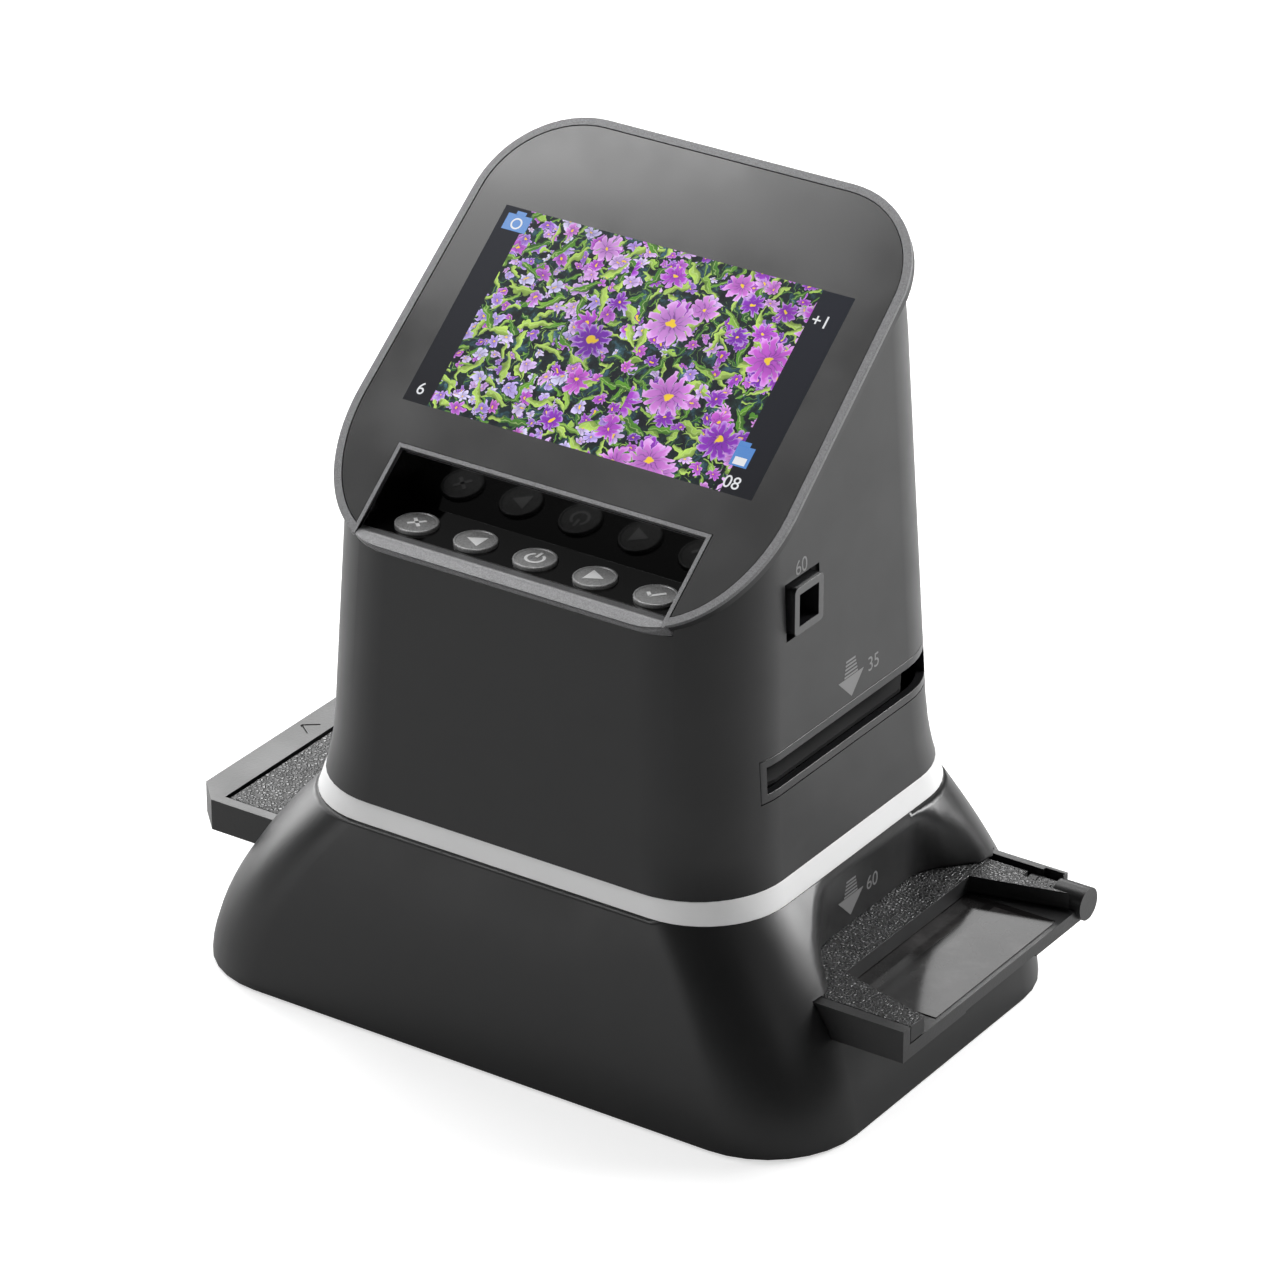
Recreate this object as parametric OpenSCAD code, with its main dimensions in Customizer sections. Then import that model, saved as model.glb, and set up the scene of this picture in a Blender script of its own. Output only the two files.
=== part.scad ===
// Desktop film scanner with a tilted display, a lit ring and a pass-through film holder.
// Frame: origin on the floor under the middle of the base, X to the right, Y to the back, Z up.

/* [Base] */
// Width of the base at its foot, left to right
base_w = 205.6; // [195:0.2:225]
// Depth of the base at its foot, front to back
base_d = 142; // [136:1:156]
// Height of the flared base up to the light ring
base_h = 55.7; // [52:0.1:58]
// Corner radius of the base at its foot
base_r = 28.5; // [26:0.5:31]
// Height of the base shell's lower edge above the floor
base_lift = 0.4; // [0.3:0.1:1.2]
// Wall of the base shell
base_wall = 2.4; // [2:0.1:3]
// Exponent of the flare, larger is fuller
flare_pow = 1.7; // [1.5:0.05:2]
// Flat inner wall of each side pocket, measured from the middle
pocket_x = 74; // [73.6:0.1:76]
// Half length of the flat part of the pocket
pocket_flat = 20; // [16:1:24]
// Radius of the four rubber feet
foot_r = 6; // [4:0.5:8]
// Depth of the recess that holds a foot
foot_recess = 0.8; // [0.4:0.1:1]
// Thickness of the bottom cover
bottom_t = 2.4; // [2:0.1:3]

/* [Light ring] */
// Height of the light ring
ring_h = 6.4; // [5:0.1:8]
// Half width of the ring at its lower edge
ring_hw = 73.3; // [72.5:0.1:73.6]
// Front of the ring at its lower edge, from the middle
ring_front = 58.2; // [57:0.1:59]
// Back of the ring at its lower edge, from the middle
ring_back = 65.1; // [64:0.1:66]
// Corner radius of the ring
ring_r = 26; // [23:0.5:28]
// How much the ring draws in at its upper edge
ring_draw = 2; // [1:0.1:2.4]
// Width of the ring's section
ring_section = 6; // [4:0.5:7]

/* [Tower] */
// Half width of the tower at the reference height
tower_hw = 68.3; // [67:0.1:69.5]
// Front of the tower at the reference height
tower_front = 55; // [54:0.1:56]
// Back of the tower at the reference height
tower_back = 61.9; // [60:0.1:63]
// Reference height of the three values above
tower_ref = 96; // [92:1:100]
// Side draft of the tower per millimetre of height
tower_draft = 0.042; // [0.035:0.001:0.05]
// Front and back draft of the tower per millimetre of height
tower_draft_y = 0.05; // [0.04:0.001:0.056]
// Corner radius of the tower
tower_r = 27; // [24:0.5:29]
// Wall of the tower shell
tower_wall = 2.4; // [2:0.1:3]
// Spread of the tower's foot over the ring
tower_spread = 1.6; // [0.8:0.1:2]
// Thickness of the tower's floor
tower_floor = 2.4; // [2:0.1:3]

/* [Head] */
// Tilt of the display from the horizontal, in degrees
panel_tilt = 38.3; // [36:0.1:40]
// Height of the display's centre
panel_z = 184.7; // [182:0.1:188]
// Display centre behind the middle of the base
panel_y = 1.3; // [0:0.1:3]
// Half width of the bezel at the display's centre
bezel_hw = 68.6; // [67.5:0.1:70]
// How much the half width grows per millimetre down the slope
bezel_taper = 0.022; // [0:0.001:0.03]
// Upper edge of the bezel from the display's centre
bezel_top = 62.8; // [60:0.1:64]
// Lower edge of the bezel from the display's centre
bezel_low = 73.2; // [72:0.1:76]
// Radius of the bezel's upper corners
bezel_r = 29; // [26:0.5:31]
// Lower corners of the bezel: how far they reach across
corner_u = 29.2; // [26:0.1:32]
// Lower corners of the bezel: how far they reach up the slope
corner_v = 40.5; // [34:0.5:44]
// Width of the bezel's visible band
bezel_band = 2.3; // [1.8:0.1:3]
// Thickness of the bezel
bezel_t = 1.2; // [1:0.1:1.6]
// Thickness of the rim under the bezel
rim_t = 2; // [1.6:0.1:3.4]
// Seam between the bezel and the rim
seam = 0.25; // [0.2:0.05:0.4]
// Width of the active display
screen_w = 110.7; // [108:0.1:112]
// Height of the active display
screen_h = 62.3; // [60:0.1:64]
// Edge of the display module round its active area
screen_edge = 4.6; // [3:0.1:5.4]
// Thickness of the display module
screen_t = 4.4; // [3.5:0.1:5]
// How far the front glass lies below the bezel's face
glass_inset = 0.15; // [0.05:0.05:0.4]

/* [Button recess] */
// Half width of the recess
recess_hw = 49.6; // [48.5:0.1:50.5]
// Upper edge of the recess below the display's centre
recess_top = 43.3; // [42.6:0.1:44]
// Width of the light strip round the recess
strip_w = 1.2; // [1:0.1:1.6]
// Height of the button deck
deck_z = 140; // [139:0.1:141]
// Thickness of the button deck
deck_t = 2.4; // [2:0.1:2.8]
// Front edge of the deck from the middle
deck_front = 48.7; // [48:0.1:49.2]
// Foot of the recess's back wall from the middle
deck_back = 30.4; // [30:0.1:31]
// Radius of a push button
button_r = 5.9; // [5.2:0.1:6.2]
// Spacing of the push buttons
button_pitch = 19; // [18:0.1:19.4]
// Button row in front of the middle
button_y = 41.2; // [40.6:0.1:41.6]
// How far a button stands over the deck
button_rise = 1; // [0.9:0.1:1.6]
// Travel of a button
button_travel = 0.8; // [0.4:0.1:0.9]
// Gap between a button and its hole
button_gap = 0.25; // [0.2:0.05:0.35]

/* [Film slot 135] */
// Lower edge of the slot's opening
slot_z = 87.9; // [86:0.1:89]
// Height of the slot's opening
slot_h = 7.7; // [6.5:0.1:8]
// Width of the slot's opening
slot_w = 82; // [70:0.5:84]
// Band of the frame round the opening
slot_band = 2.3; // [1.8:0.1:2.6]
// Seam round the slot's frame
slot_seam = 0.2; // [0.15:0.05:0.3]
// Thickness of the film channel's plates
channel_t = 2; // [1.6:0.1:2.4]

/* [Selector] */
// Width of the square selector
sel_w = 13.7; // [12.6:0.1:14]
// Width of the selector's square hole
sel_hole = 9.2; // [8:0.1:9.6]
// Depth of the selector's hole
sel_depth = 12; // [8:0.5:14]
// Width of the square recess round the selector
sel_recess = 16.4; // [16:0.1:17]
// Selector in front of the middle
sel_y = 15.5; // [15:0.1:16]
// Height of the selector's axis
sel_z = 136; // [135.6:0.1:136.6]
// Selector stands out from the side wall at rest
sel_out = 2; // [1.5:0.1:2.5]
// Travel of the selector
sel_travel = 8; // [6:0.5:8]
// Gap between the selector and its hole
sel_gap = 0.3; // [0.25:0.05:0.4]
// Thickness of the selector's cam plate
cam_t = 3; // [2.4:0.1:3.2]
// Height of the cam plate
cam_h = 20; // [19:0.5:21]

/* [Camera] */
// Optical axis behind the middle
axis_y = 7.4; // [7:0.1:8]
// Radius of the lens barrel
lens_r = 10; // [8:0.5:10.5]
// Radius of the two guide rods
rod_r = 2; // [1.6:0.1:2.4]
// Distance of a guide rod from the optical axis
rod_x = 22; // [20:0.5:23]
// Running clearance of the lens carriage on its rods
rod_gap = 0.05; // [0.03:0.01:0.08]
// Radius of the cam pin
pin_r = 2; // [1.6:0.1:2.2]
// Clearance of the cam pin in its slot
pin_gap = 0.15; // [0.1:0.05:0.25]
// Length of the light gate
gate_l = 60; // [54:1:64]
// Width of the light gate
gate_w = 57; // [54:0.5:59]

/* [Film holder 120] */
// Length of the film holder
holder_l = 234.8; // [226:0.2:244]
// Height of the holder's underside
holder_z = 26.6; // [26:0.1:27]
// Thickness of the closed holder
holder_t = 9.4; // [9:0.1:9.6]
// Front edge of the holder from the middle
holder_front = 41.9; // [41:0.1:42.4]
// Back edge of the holder from the middle
holder_back = 55.2; // [54.6:0.1:55.8]
// Width of the rim at the closed end
rim_l = 9.9; // [8:0.1:12]
// Width of the front rim
rim_f = 3.4; // [2.8:0.1:4]
// Gap between the holder and its channel
holder_gap = 0.3; // [0.25:0.05:0.4]
// Travel of the holder each way
holder_travel = 60; // [50:5:70]
// Thickness of the tray's floor
tray_t = 4.1; // [4.1:0.1:4.4]
// Width of the film
film_w = 61.5; // [60:0.1:62]
// Thickness of the film
film_t = 0.2; // [0.15:0.05:0.25]
// Length of each picture window
win_l = 44; // [40:1:46]
// Bar between the picture windows
win_bar = 5; // [4:0.5:6]
// Radius of the hinge's end barrel
barrel_r = 4.7; // [4.4:0.1:4.7]
// Radius of the small hinge knuckles
knuckle_r = 3.4; // [3:0.1:3.5]
// Radius of the hinge pins
hpin_r = 1.2; // [1:0.05:1.4]

/* [Fasteners] */
// Radius of a screw's shank
screw_r = 1.45; // [1.2:0.05:1.6]
// Radius of a screw's head
screw_head = 2.7; // [2.4:0.1:3]
// Height of a screw's head
screw_head_h = 1.6; // [1.4:0.1:1.8]
// Radius of a screw boss
boss_r = 3.6; // [3.4:0.1:4]

/* [Hidden] */
$fn = 64;

// Heights that follow from the values above
ring_z1 = base_h + ring_h;
hold_top = holder_z + holder_t;
tray_top = holder_z + tray_t;
film_z = tray_top + 0.05;
cover_z = film_z + film_t + 0.15;
chan_lo = holder_z - holder_gap;
chan_hi = hold_top + holder_gap;
chan_f = holder_front + holder_gap;
chan_b = holder_back + holder_gap;
plate_t = 2;
bottom_z1 = base_lift + bottom_t;

// Film slot: the raised floor, the plates and the two ends
slot_step = 1.2;
slot_y0 = axis_y - slot_w / 2;
slot_y1 = axis_y + slot_w / 2;
low_top = slot_z + slot_step;
low_bot = low_top - channel_t;
up_bot = slot_z + slot_h;
up_top = up_bot + channel_t;

// Camera heights
cf_t = 3;
cf_z1 = up_top + cf_t;
cf_top = sel_z + sel_travel + 16;
col_x = rod_x + 8;
pin_z = sel_z - sel_travel / 2;
guide_w = 6;
guide_x = 33;

// Panel planes, measured along the panel's normal
rim_w1 = -bezel_t - seam;
rim_w0 = rim_w1 - rim_t;
glass_w1 = -glass_inset;
glass_w0 = rim_w1;
glass_t = glass_w1 - glass_w0;
lcd_w1 = glass_w0 - 0.1;
lcd_w0 = lcd_w1 - screen_t;
lcd_hw = screen_w / 2 + screen_edge;
lcd_hh = screen_h / 2 + screen_edge;
board_w1 = lcd_w0 - 4.2;
board_t = 1.6;

// Holder ends and hinge axis
hx0 = -holder_l / 2;
hx1 = holder_l / 2;
tray_x1 = hx1 - 1.4;
cover_x0 = hx0 + rim_l + 1.6;
cover_y0 = -holder_front + rim_f + 0.3;
cover_y1 = holder_back - 5.5;
rail_y = holder_back - 2.2;
hinge_y = holder_back - barrel_r;
hinge_z = holder_z + barrel_r;
arm_y = hinge_y - knuckle_r - 0.2;
// Stations of the hinge along X, measured in from the right end
st_a = hx1 - 9.4;
st_b = hx1 - 15.8;
st_c = hx1 - 18.5;
notch_x = hx1 - 30.7;
notch_w0 = 31.2;
notch_w1 = 38.8;
// Stations of the left hinge
sl_a = hx0 + rim_l + 6;
sl_b = hx0 + rim_l + 12.5;
sl_c = hx0 + rim_l + 15.2;

function clamp01(v) = min(1, max(0, v));
function smooth01(v) = clamp01(v) * clamp01(v) * (3 - 2 * clamp01(v));
function smin(a, b, k) = min(a, b) - pow(max(k - abs(a - b), 0) / k, 2) * k / 4;
function lerp(a, b, t) = a + (b - a) * t;
function plane_z(y, w) = panel_z + (y - panel_y) * tan(panel_tilt) + w / cos(panel_tilt);

// One closed outline of a rounded rectangle, as points that run round it
function arc_pts(cx, cy, r, a0, n) =
    [for (i = [0:n - 1]) [cx + r * cos(a0 + 90 * i / n), cy + r * sin(a0 + 90 * i / n)]];
function side_pts(p, q, n) =
    [for (i = [0:n - 1]) [lerp(p[0], q[0], i / n), lerp(p[1], q[1], i / n)]];
function rr_pts(hw, f, b, r, nc, ns, nf) = concat(
    side_pts([hw, r - f], [hw, b - r], ns),
    arc_pts(hw - r, b - r, r, 0, nc),
    side_pts([hw - r, b], [r - hw, b], nf),
    arc_pts(r - hw, b - r, r, 90, nc),
    side_pts([-hw, b - r], [-hw, r - f], ns),
    arc_pts(r - hw, r - f, r, 180, nc),
    side_pts([r - hw, -f], [hw - r, -f], nf),
    arc_pts(hw - r, r - f, r, 270, nc));

// A closed skin through a stack of outlines
module loft(rings, zs) {
    n = len(rings[0]);
    m = len(rings);
    pts = [for (j = [0:m - 1]) for (p = rings[j]) [p[0], p[1], zs[j]]];
    ends = [[0, 0, zs[0]], [0, 0, zs[m - 1]]];
    sides = [for (j = [0:m - 2]) for (i = [0:n - 1]) for (k = [0, 1])
        k == 0 ? [j * n + i, (j + 1) * n + i, (j + 1) * n + (i + 1) % n]
               : [j * n + i, (j + 1) * n + (i + 1) % n, j * n + (i + 1) % n]];
    low = [for (i = [0:n - 1]) [m * n, i, (i + 1) % n]];
    top = [for (i = [0:n - 1]) [m * n + 1, (m - 1) * n + (i + 1) % n, (m - 1) * n + i]];
    polyhedron(points = concat(pts, ends), faces = concat(low, sides, top), convexity = 8);
}

// Flare of the base: full width at the foot, the ring's outline at the top
function flare(z) = 1 - pow(clamp01(z / base_h), flare_pow);
foot_e = 0.6;
function foot_in(z) = z - base_lift >= foot_e ? 0
    : foot_e - sqrt(max(0, foot_e * foot_e - pow(foot_e - max(0, z - base_lift), 2)));
function pocket_y(y) = pocket_x + 0.037 * pow(max(0, abs(y - axis_y) - pocket_flat), 2);
function pocket_w(z) = smooth01((z - holder_z + 1) / 5);
function pocket_k(z) = 0.02 + 8 * clamp01((base_h - z) / 12);
function dent(p, z, off) = let (a = abs(p[0]), s = p[0] < 0 ? -1 : 1)
    [s * (a - pocket_w(z) * (a - smin(a, pocket_y(p[1]) - off, pocket_k(z)))), p[1]];
function base_ring(z, off) = let (t = flare(z), e = off + foot_in(z),
    o = rr_pts(lerp(ring_hw, base_w / 2, t) - e, lerp(ring_front, base_d / 2, t) - e,
        lerp(ring_back, base_d / 2, t) - e, lerp(ring_r, base_r, t) - e, 8, 26, 2))
    [for (p = o) dent(p, z, off)];
base_zs = [base_lift, base_lift + 0.1, base_lift + 0.3, base_lift + foot_e, 5, 9, 13, 17, 21,
    24.4, 25.7, 27.1, 28.6, 30.4, 32.3, 34.4, 36.9, 39, 41, 43, 45.2, 47.4, 49.6, 52, 54.1,
    base_h];
inner_zs = [-1, 6, 13, 19, 24.4, 27.1, 28.9, 30.9, 33.7, 37.3, 40.4, 44.2, 48.2,
    base_h - base_wall];

module base_outer() {
    loft([for (z = base_zs) base_ring(z, 0)], base_zs);
}

module base_inner() {
    loft([for (z = inner_zs) base_ring(max(z, base_lift + foot_e), base_wall)], inner_zs);
}

// Tower outline at a height
function spread(z) = tower_spread * pow(max(0, (ring_z1 + 18 - z) / 18), 2);
function tower_ring(z, off) = rr_pts(
    tower_hw - tower_draft * (z - tower_ref) + spread(z) - off,
    tower_front - tower_draft_y * (z - tower_ref) + 0.6 * spread(z) - off,
    tower_back - tower_draft_y * (z - tower_ref) + 0.6 * spread(z)
        - 0.0047 * pow(max(0, z - 190), 2) - off,
    tower_r - off, 12, 1, 1);
tower_zs = [ring_z1, ring_z1 + 1.5, ring_z1 + 3.5, ring_z1 + 6.5, ring_z1 + 10, ring_z1 + 18,
    100, 150, 190, 200, 208, 215, 221, 228];
tower_in_zs = [ring_z1 + tower_floor, ring_z1 + 6, ring_z1 + 10, ring_z1 + 18, 100, 150, 190,
    200, 208, 215, 221, 228];

module tower_outer() {
    loft([for (z = tower_zs) tower_ring(z, 0)], tower_zs);
}

module tower_inner() {
    loft([for (z = tower_in_zs) tower_ring(z, tower_wall)], tower_in_zs);
}

// Exact rounded rectangle
module rrect(x0, x1, y0, y1, r) {
    translate([x0 + r, y0]) square([x1 - x0 - 2 * r, y1 - y0]);
    translate([x0, y0 + r]) square([x1 - x0, y1 - y0 - 2 * r]);
    for (x = [x0 + r, x1 - r])
        for (y = [y0 + r, y1 - r])
            translate([x, y]) circle(r = r);
}

// Outline of the display's bezel, grown by e: tapered, with softer lower corners
function bezel_half(v) = bezel_hw - bezel_taper * v;
function panel_half(e) = concat(
    [for (i = [0:20]) let (a = -90 + 4.5 * i, v = corner_v - bezel_low)
        [bezel_half(v) - corner_u + (corner_u + e) * cos(a), v + (corner_v + e) * sin(a)]],
    [for (i = [0:16]) let (a = 5.625 * i, v = bezel_top - bezel_r)
        [bezel_half(v) - bezel_r + (bezel_r + e) * cos(a), v + (bezel_r + e) * sin(a)]]);
module panel_outline(e) {
    h = panel_half(e);
    n = len(h) - 1;
    polygon(concat(h, [for (i = [0:n]) [-h[n - i][0], h[n - i][1]]]));
}

// Places a child on the tilted panel: X across, Y up the slope, Z out of it
module on_panel() {
    translate([0, panel_y, panel_z]) rotate([panel_tilt, 0, 0]) children();
}

module below_panel(w) {
    on_panel() translate([-200, -200, w - 400]) cube([400, 400, 400]);
}

// Extrudes an outline drawn in Y and Z along X
module along_x(x0, x1) {
    translate([x0, 0, 0]) rotate([90, 0, 90]) linear_extrude(x1 - x0) children();
}

// The four corners of a rectangle that is the same on both sides
function four(x, front, back) = [[-x, -front], [x, -front], [-x, back], [x, back]];
well_hw = gate_l / 2;
well_hd = gate_w / 2;
well_t = 1.5;
window_hw = well_hw + 14;
tower_screws = four(tower_hw - 16.3, tower_front - 15, tower_back - 14.9);
bottom_screws = four(base_w / 2 - 24.8, base_d / 2 - 18, base_d / 2 - 9.4);
feet_at = four(base_w / 2 - 18.8, base_d / 2 - 29, base_d / 2 - 29);
pillars = four(well_hw + 30, holder_front - 5.9, holder_back - 5.2);

module at_xy(list) {
    for (p = list) translate([p[0], p[1], 0]) children();
}

module base_shell() {
    color([0.05, 0.05, 0.055])
    difference() {
        union() {
            difference() {
                base_outer();
                difference() {
                    base_inner();
                    at_xy(bottom_screws) translate([0, 0, bottom_z1])
                        cylinder(h = base_h, r = boss_r);
                }
            }
            at_xy(tower_screws) translate([0, 0, base_h - 0.5])
                cylinder(h = ring_h + 0.5, r = boss_r);
        }
        translate([-140, -chan_f, chan_lo]) cube([280, chan_f + chan_b, chan_hi - chan_lo]);
        translate([-window_hw, axis_y - well_hd - 3, base_h - 6])
            cube([2 * window_hw, 2 * well_hd + 6, 12]);
        at_xy(tower_screws) translate([0, 0, base_h - 6])
            cylinder(h = 20, r = screw_r + 0.25);
        at_xy(bottom_screws) translate([0, 0, bottom_z1 - 1])
            cylinder(h = 13, r = screw_r + 0.05);
    }
}

module bottom_cover() {
    hw = base_w / 2 - base_wall - 1.1;
    hd = base_d / 2 - base_wall - 0.8;
    color([0.07, 0.07, 0.075])
    difference() {
        union() {
            translate([0, 0, base_lift]) linear_extrude(bottom_t)
                rrect(-hw, hw, -hd, hd, base_r - 4);
            at_xy(pillars) translate([0, 0, bottom_z1 - 0.2])
                cylinder(h = chan_lo - plate_t - bottom_z1 + 0.2, r = 4);
        }
        at_xy(feet_at) translate([0, 0, base_lift - 0.5])
            cylinder(h = 0.5 + foot_recess, r = foot_r + 0.05);
        at_xy(bottom_screws) {
            translate([0, 0, base_lift - 1]) cylinder(h = bottom_t + 2, r = screw_r + 0.25);
            translate([0, 0, base_lift - 1]) cylinder(h = 1 + screw_head_h, r = screw_head + 0.3);
        }
        for (i = [-3:3])
            translate([i * 7 - 1.5, -56, base_lift - 1]) cube([3, 16, bottom_t + 2]);
    }
}

module rubber_feet() {
    color([0.03, 0.03, 0.03])
    at_xy(feet_at) cylinder(h = base_lift + foot_recess, r = foot_r);
}

module bottom_screw_set() {
    color([0.5, 0.5, 0.52])
    at_xy(bottom_screws) {
        difference() {
            translate([0, 0, base_lift + 0.05]) cylinder(h = screw_head_h - 0.05, r = screw_head);
            translate([-2, -0.4, base_lift]) cube([4, 0.8, 0.8]);
            translate([-0.4, -2, base_lift]) cube([0.8, 4, 0.8]);
        }
        translate([0, 0, base_lift + screw_head_h]) cylinder(h = 11, r = screw_r);
    }
}

module tower_screw_set() {
    color([0.5, 0.5, 0.52])
    at_xy(tower_screws) {
        difference() {
            translate([0, 0, base_h - base_wall - screw_head_h])
                cylinder(h = screw_head_h, r = screw_head);
            translate([-2, -0.4, base_h - base_wall - screw_head_h - 0.2]) cube([4, 0.8, 1]);
            translate([-0.4, -2, base_h - base_wall - screw_head_h - 0.2]) cube([0.8, 4, 1]);
        }
        translate([0, 0, base_h - base_wall]) cylinder(h = base_wall + ring_h + 8, r = screw_r);
    }
}

module light_ring() {
    zs = [base_h, ring_z1];
    color([0.9, 0.9, 0.9])
    difference() {
        loft([for (k = [0, 1]) rr_pts(ring_hw - k * ring_draw, ring_front - k * ring_draw * 0.45,
            ring_back - k * ring_draw * 0.35, ring_r, 12, 1, 1)], zs);
        translate([0, 0, base_h - 1]) linear_extrude(ring_h + 2)
            rrect(-ring_hw + ring_section, ring_hw - ring_section,
                -ring_front + ring_section, ring_back - ring_section, ring_r - ring_section);
    }
}

module ring_led_strips() {
    x = ring_hw - ring_section - 0.4;
    color([0.1, 0.3, 0.15])
    for (s = [-1, 1])
        translate([s * x - (s > 0 ? 1.2 : 0), axis_y - 28, base_h]) cube([1.2, 56, ring_h - 1]);
    color([0.95, 0.95, 0.8])
    for (s = [-1, 1])
        for (i = [0:5])
            translate([s * (x - 1.2) - (s > 0 ? 0.7 : 0), axis_y - 25 + i * 9, base_h + 1.6])
                cube([0.7, 3, 2]);
}

// Frame region of the film slot on one side of the tower
module slot_block(e) {
    y0 = slot_y0 - slot_band - e;
    y1 = slot_y1 + slot_band + e;
    z0 = slot_z - slot_band - e;
    translate([30, y0, z0]) cube([60, y1 - y0, slot_h + 2 * slot_band + 2 * e]);
}

module slot_frame() {
    difference() {
        intersection() {
            difference() {
                tower_outer();
                tower_inner();
            }
            slot_block(0);
        }
        translate([20, slot_y0, slot_z]) cube([80, slot_w, slot_h]);
    }
}

module slot_frame_right() {
    color([0.12, 0.12, 0.13]) slot_frame();
}

module slot_frame_left() {
    color([0.12, 0.12, 0.13]) mirror([1, 0, 0]) slot_frame();
}

module tower_shell() {
    sx = tower_hw - tower_draft * (sel_z - tower_ref);
    color([0.05, 0.05, 0.055])
    difference() {
        union() {
            difference() {
                intersection() {
                    tower_outer();
                    below_panel(rim_w1 - 0.01);
                }
                intersection() {
                    tower_inner();
                    below_panel(rim_w0);
                }
            }
            on_panel() translate([0, 0, rim_w0]) linear_extrude(rim_t) panel_outline(-0.3);
            translate([sx - 7.2, -sel_y - sel_recess / 2 - 2, sel_z - sel_recess / 2 - 2])
                cube([6, sel_recess + 4, sel_recess + 4]);
            at_xy(tower_screws) translate([0, 0, ring_z1])
                cylinder(h = tower_floor + 9, r = boss_r);
        }
        // Display window and button recess
        on_panel() translate([-lcd_hw - 0.3, -lcd_hh - 0.3, rim_w0 - 5])
            cube([2 * lcd_hw + 0.6, 2 * lcd_hh + 0.6, 20]);
        along_x(-recess_hw - 0.2, recess_hw + 0.2)
            polygon([[-deck_front - 8, deck_z - 3.8], [-deck_back + 2, deck_z - 3.8],
                [-deck_back + 2, deck_z + 10], [-deck_back - 0.4, deck_z + 34],
                [-deck_front - 8, deck_z + 34]]);
        // Film slot, both sides
        slot_block(slot_seam);
        mirror([1, 0, 0]) slot_block(slot_seam);
        // Selector recess and hole
        translate([sx - 2.2, -sel_y - sel_recess / 2, sel_z - sel_recess / 2])
            cube([20, sel_recess, sel_recess]);
        translate([sx - 20, -sel_y - sel_w / 2 - sel_gap, sel_z - sel_w / 2 - sel_gap])
            cube([40, sel_w + 2 * sel_gap, sel_w + 2 * sel_gap]);
        // Floor window for the light well, screw holes
        translate([-window_hw, axis_y - well_hd - 3, ring_z1 - 1])
            cube([2 * window_hw, 2 * well_hd + 6, tower_floor + 2]);
        at_xy(tower_screws) translate([0, 0, ring_z1 - 1])
            cylinder(h = 10.2, r = screw_r + 0.05);
        // Card slot and power inlet in the back wall
        translate([-29, 45, io_z + 1.8]) cube([25.4, 40, 3.2]);
        translate([11.6, 45, io_z + 1.5]) cube([9.8, 40, 4]);
        // Cooling slits high in the back wall
        for (i = [-4:4])
            translate([i * 7 - 1.5, 40, 150]) cube([3, 60, 22]);
    }
}

// A point given in Y and Z, as distances up the panel and out of it
function on_slope(y, z) = [(y - panel_y) * cos(panel_tilt) + (z - panel_z) * sin(panel_tilt),
    (z - panel_z) * cos(panel_tilt) - (y - panel_y) * sin(panel_tilt)];
lip_y = -deck_front - 5.5;
lip_v = on_slope(lip_y, plane_z(lip_y, -0.25))[0];

module bezel() {
    color([0.42, 0.42, 0.43])
    on_panel() {
        translate([0, 0, -bezel_t]) linear_extrude(bezel_t)
        difference() {
            panel_outline(0);
            panel_outline(-bezel_band);
            translate([-recess_hw, -bezel_low - 5]) square([2 * recess_hw, 20]);
        }
        translate([0, 0, -bezel_t - 0.4]) linear_extrude(bezel_t + 0.4)
        difference() {
            translate([-recess_hw, lip_v - 0.6])
                square([2 * recess_hw, -lip_v + 0.6 - recess_top]);
            translate([-recess_hw + strip_w, lip_v - 2])
                square([2 * recess_hw - 2 * strip_w, -lip_v + 2 - recess_top - strip_w]);
        }
        intersection() {
            translate([0, 0, -9]) linear_extrude(9) panel_outline(0);
            along_x(-recess_hw, recess_hw)
                polygon([on_slope(-deck_front, deck_z - 3.6), on_slope(-deck_front, deck_z),
                    on_slope(-deck_front - 1.6, deck_z + 0.3),
                    on_slope(-deck_front - 3.2, deck_z + 0.85),
                    on_slope(-deck_front - 4.4, deck_z + 1), [lip_v, -0.25],
                    [-bezel_low - 1, 0.1], [-bezel_low - 1, -bezel_t], [lip_v, -bezel_t],
                    on_slope(lip_y, deck_z - 3.6)]);
        }
    }
}

module front_glass() {
    color([0.04, 0.04, 0.045])
    on_panel() translate([0, 0, glass_w0]) linear_extrude(glass_t)
    difference() {
        panel_outline(-bezel_band - 0.08);
        translate([-recess_hw - 0.08, -bezel_low - 5])
            square([2 * recess_hw + 0.16, bezel_low + 5.08 - recess_top]);
    }
}

module display_module() {
    color([0.15, 0.16, 0.2])
    on_panel() translate([-lcd_hw, -lcd_hh, lcd_w0]) cube([2 * lcd_hw, 2 * lcd_hh, screen_t]);
}

board_pts = [[-44, -3], [44, -3], [-44, 29], [44, 29]];

module standoffs() {
    color([0.7, 0.6, 0.3])
    on_panel() at_xy(board_pts) translate([0, 0, board_w1])
        cylinder(h = lcd_w0 - board_w1, r = 2.4);
}

module main_board() {
    color([0.04, 0.25, 0.1])
    on_panel() {
        translate([-50, -8, board_w1 - board_t]) cube([100, 42, board_t]);
        translate([-9, 6, board_w1 - board_t - 1.4]) cube([16, 16, 1.4]);
        translate([16, 4, board_w1 - board_t - 1.1]) cube([12, 10, 1.1]);
        translate([-36, 2, board_w1 - board_t - 2.6]) cube([14, 5, 2.6]);
        translate([-34, 18, board_w1 - board_t - 3]) cube([7, 7, 3]);
    }
}

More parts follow.
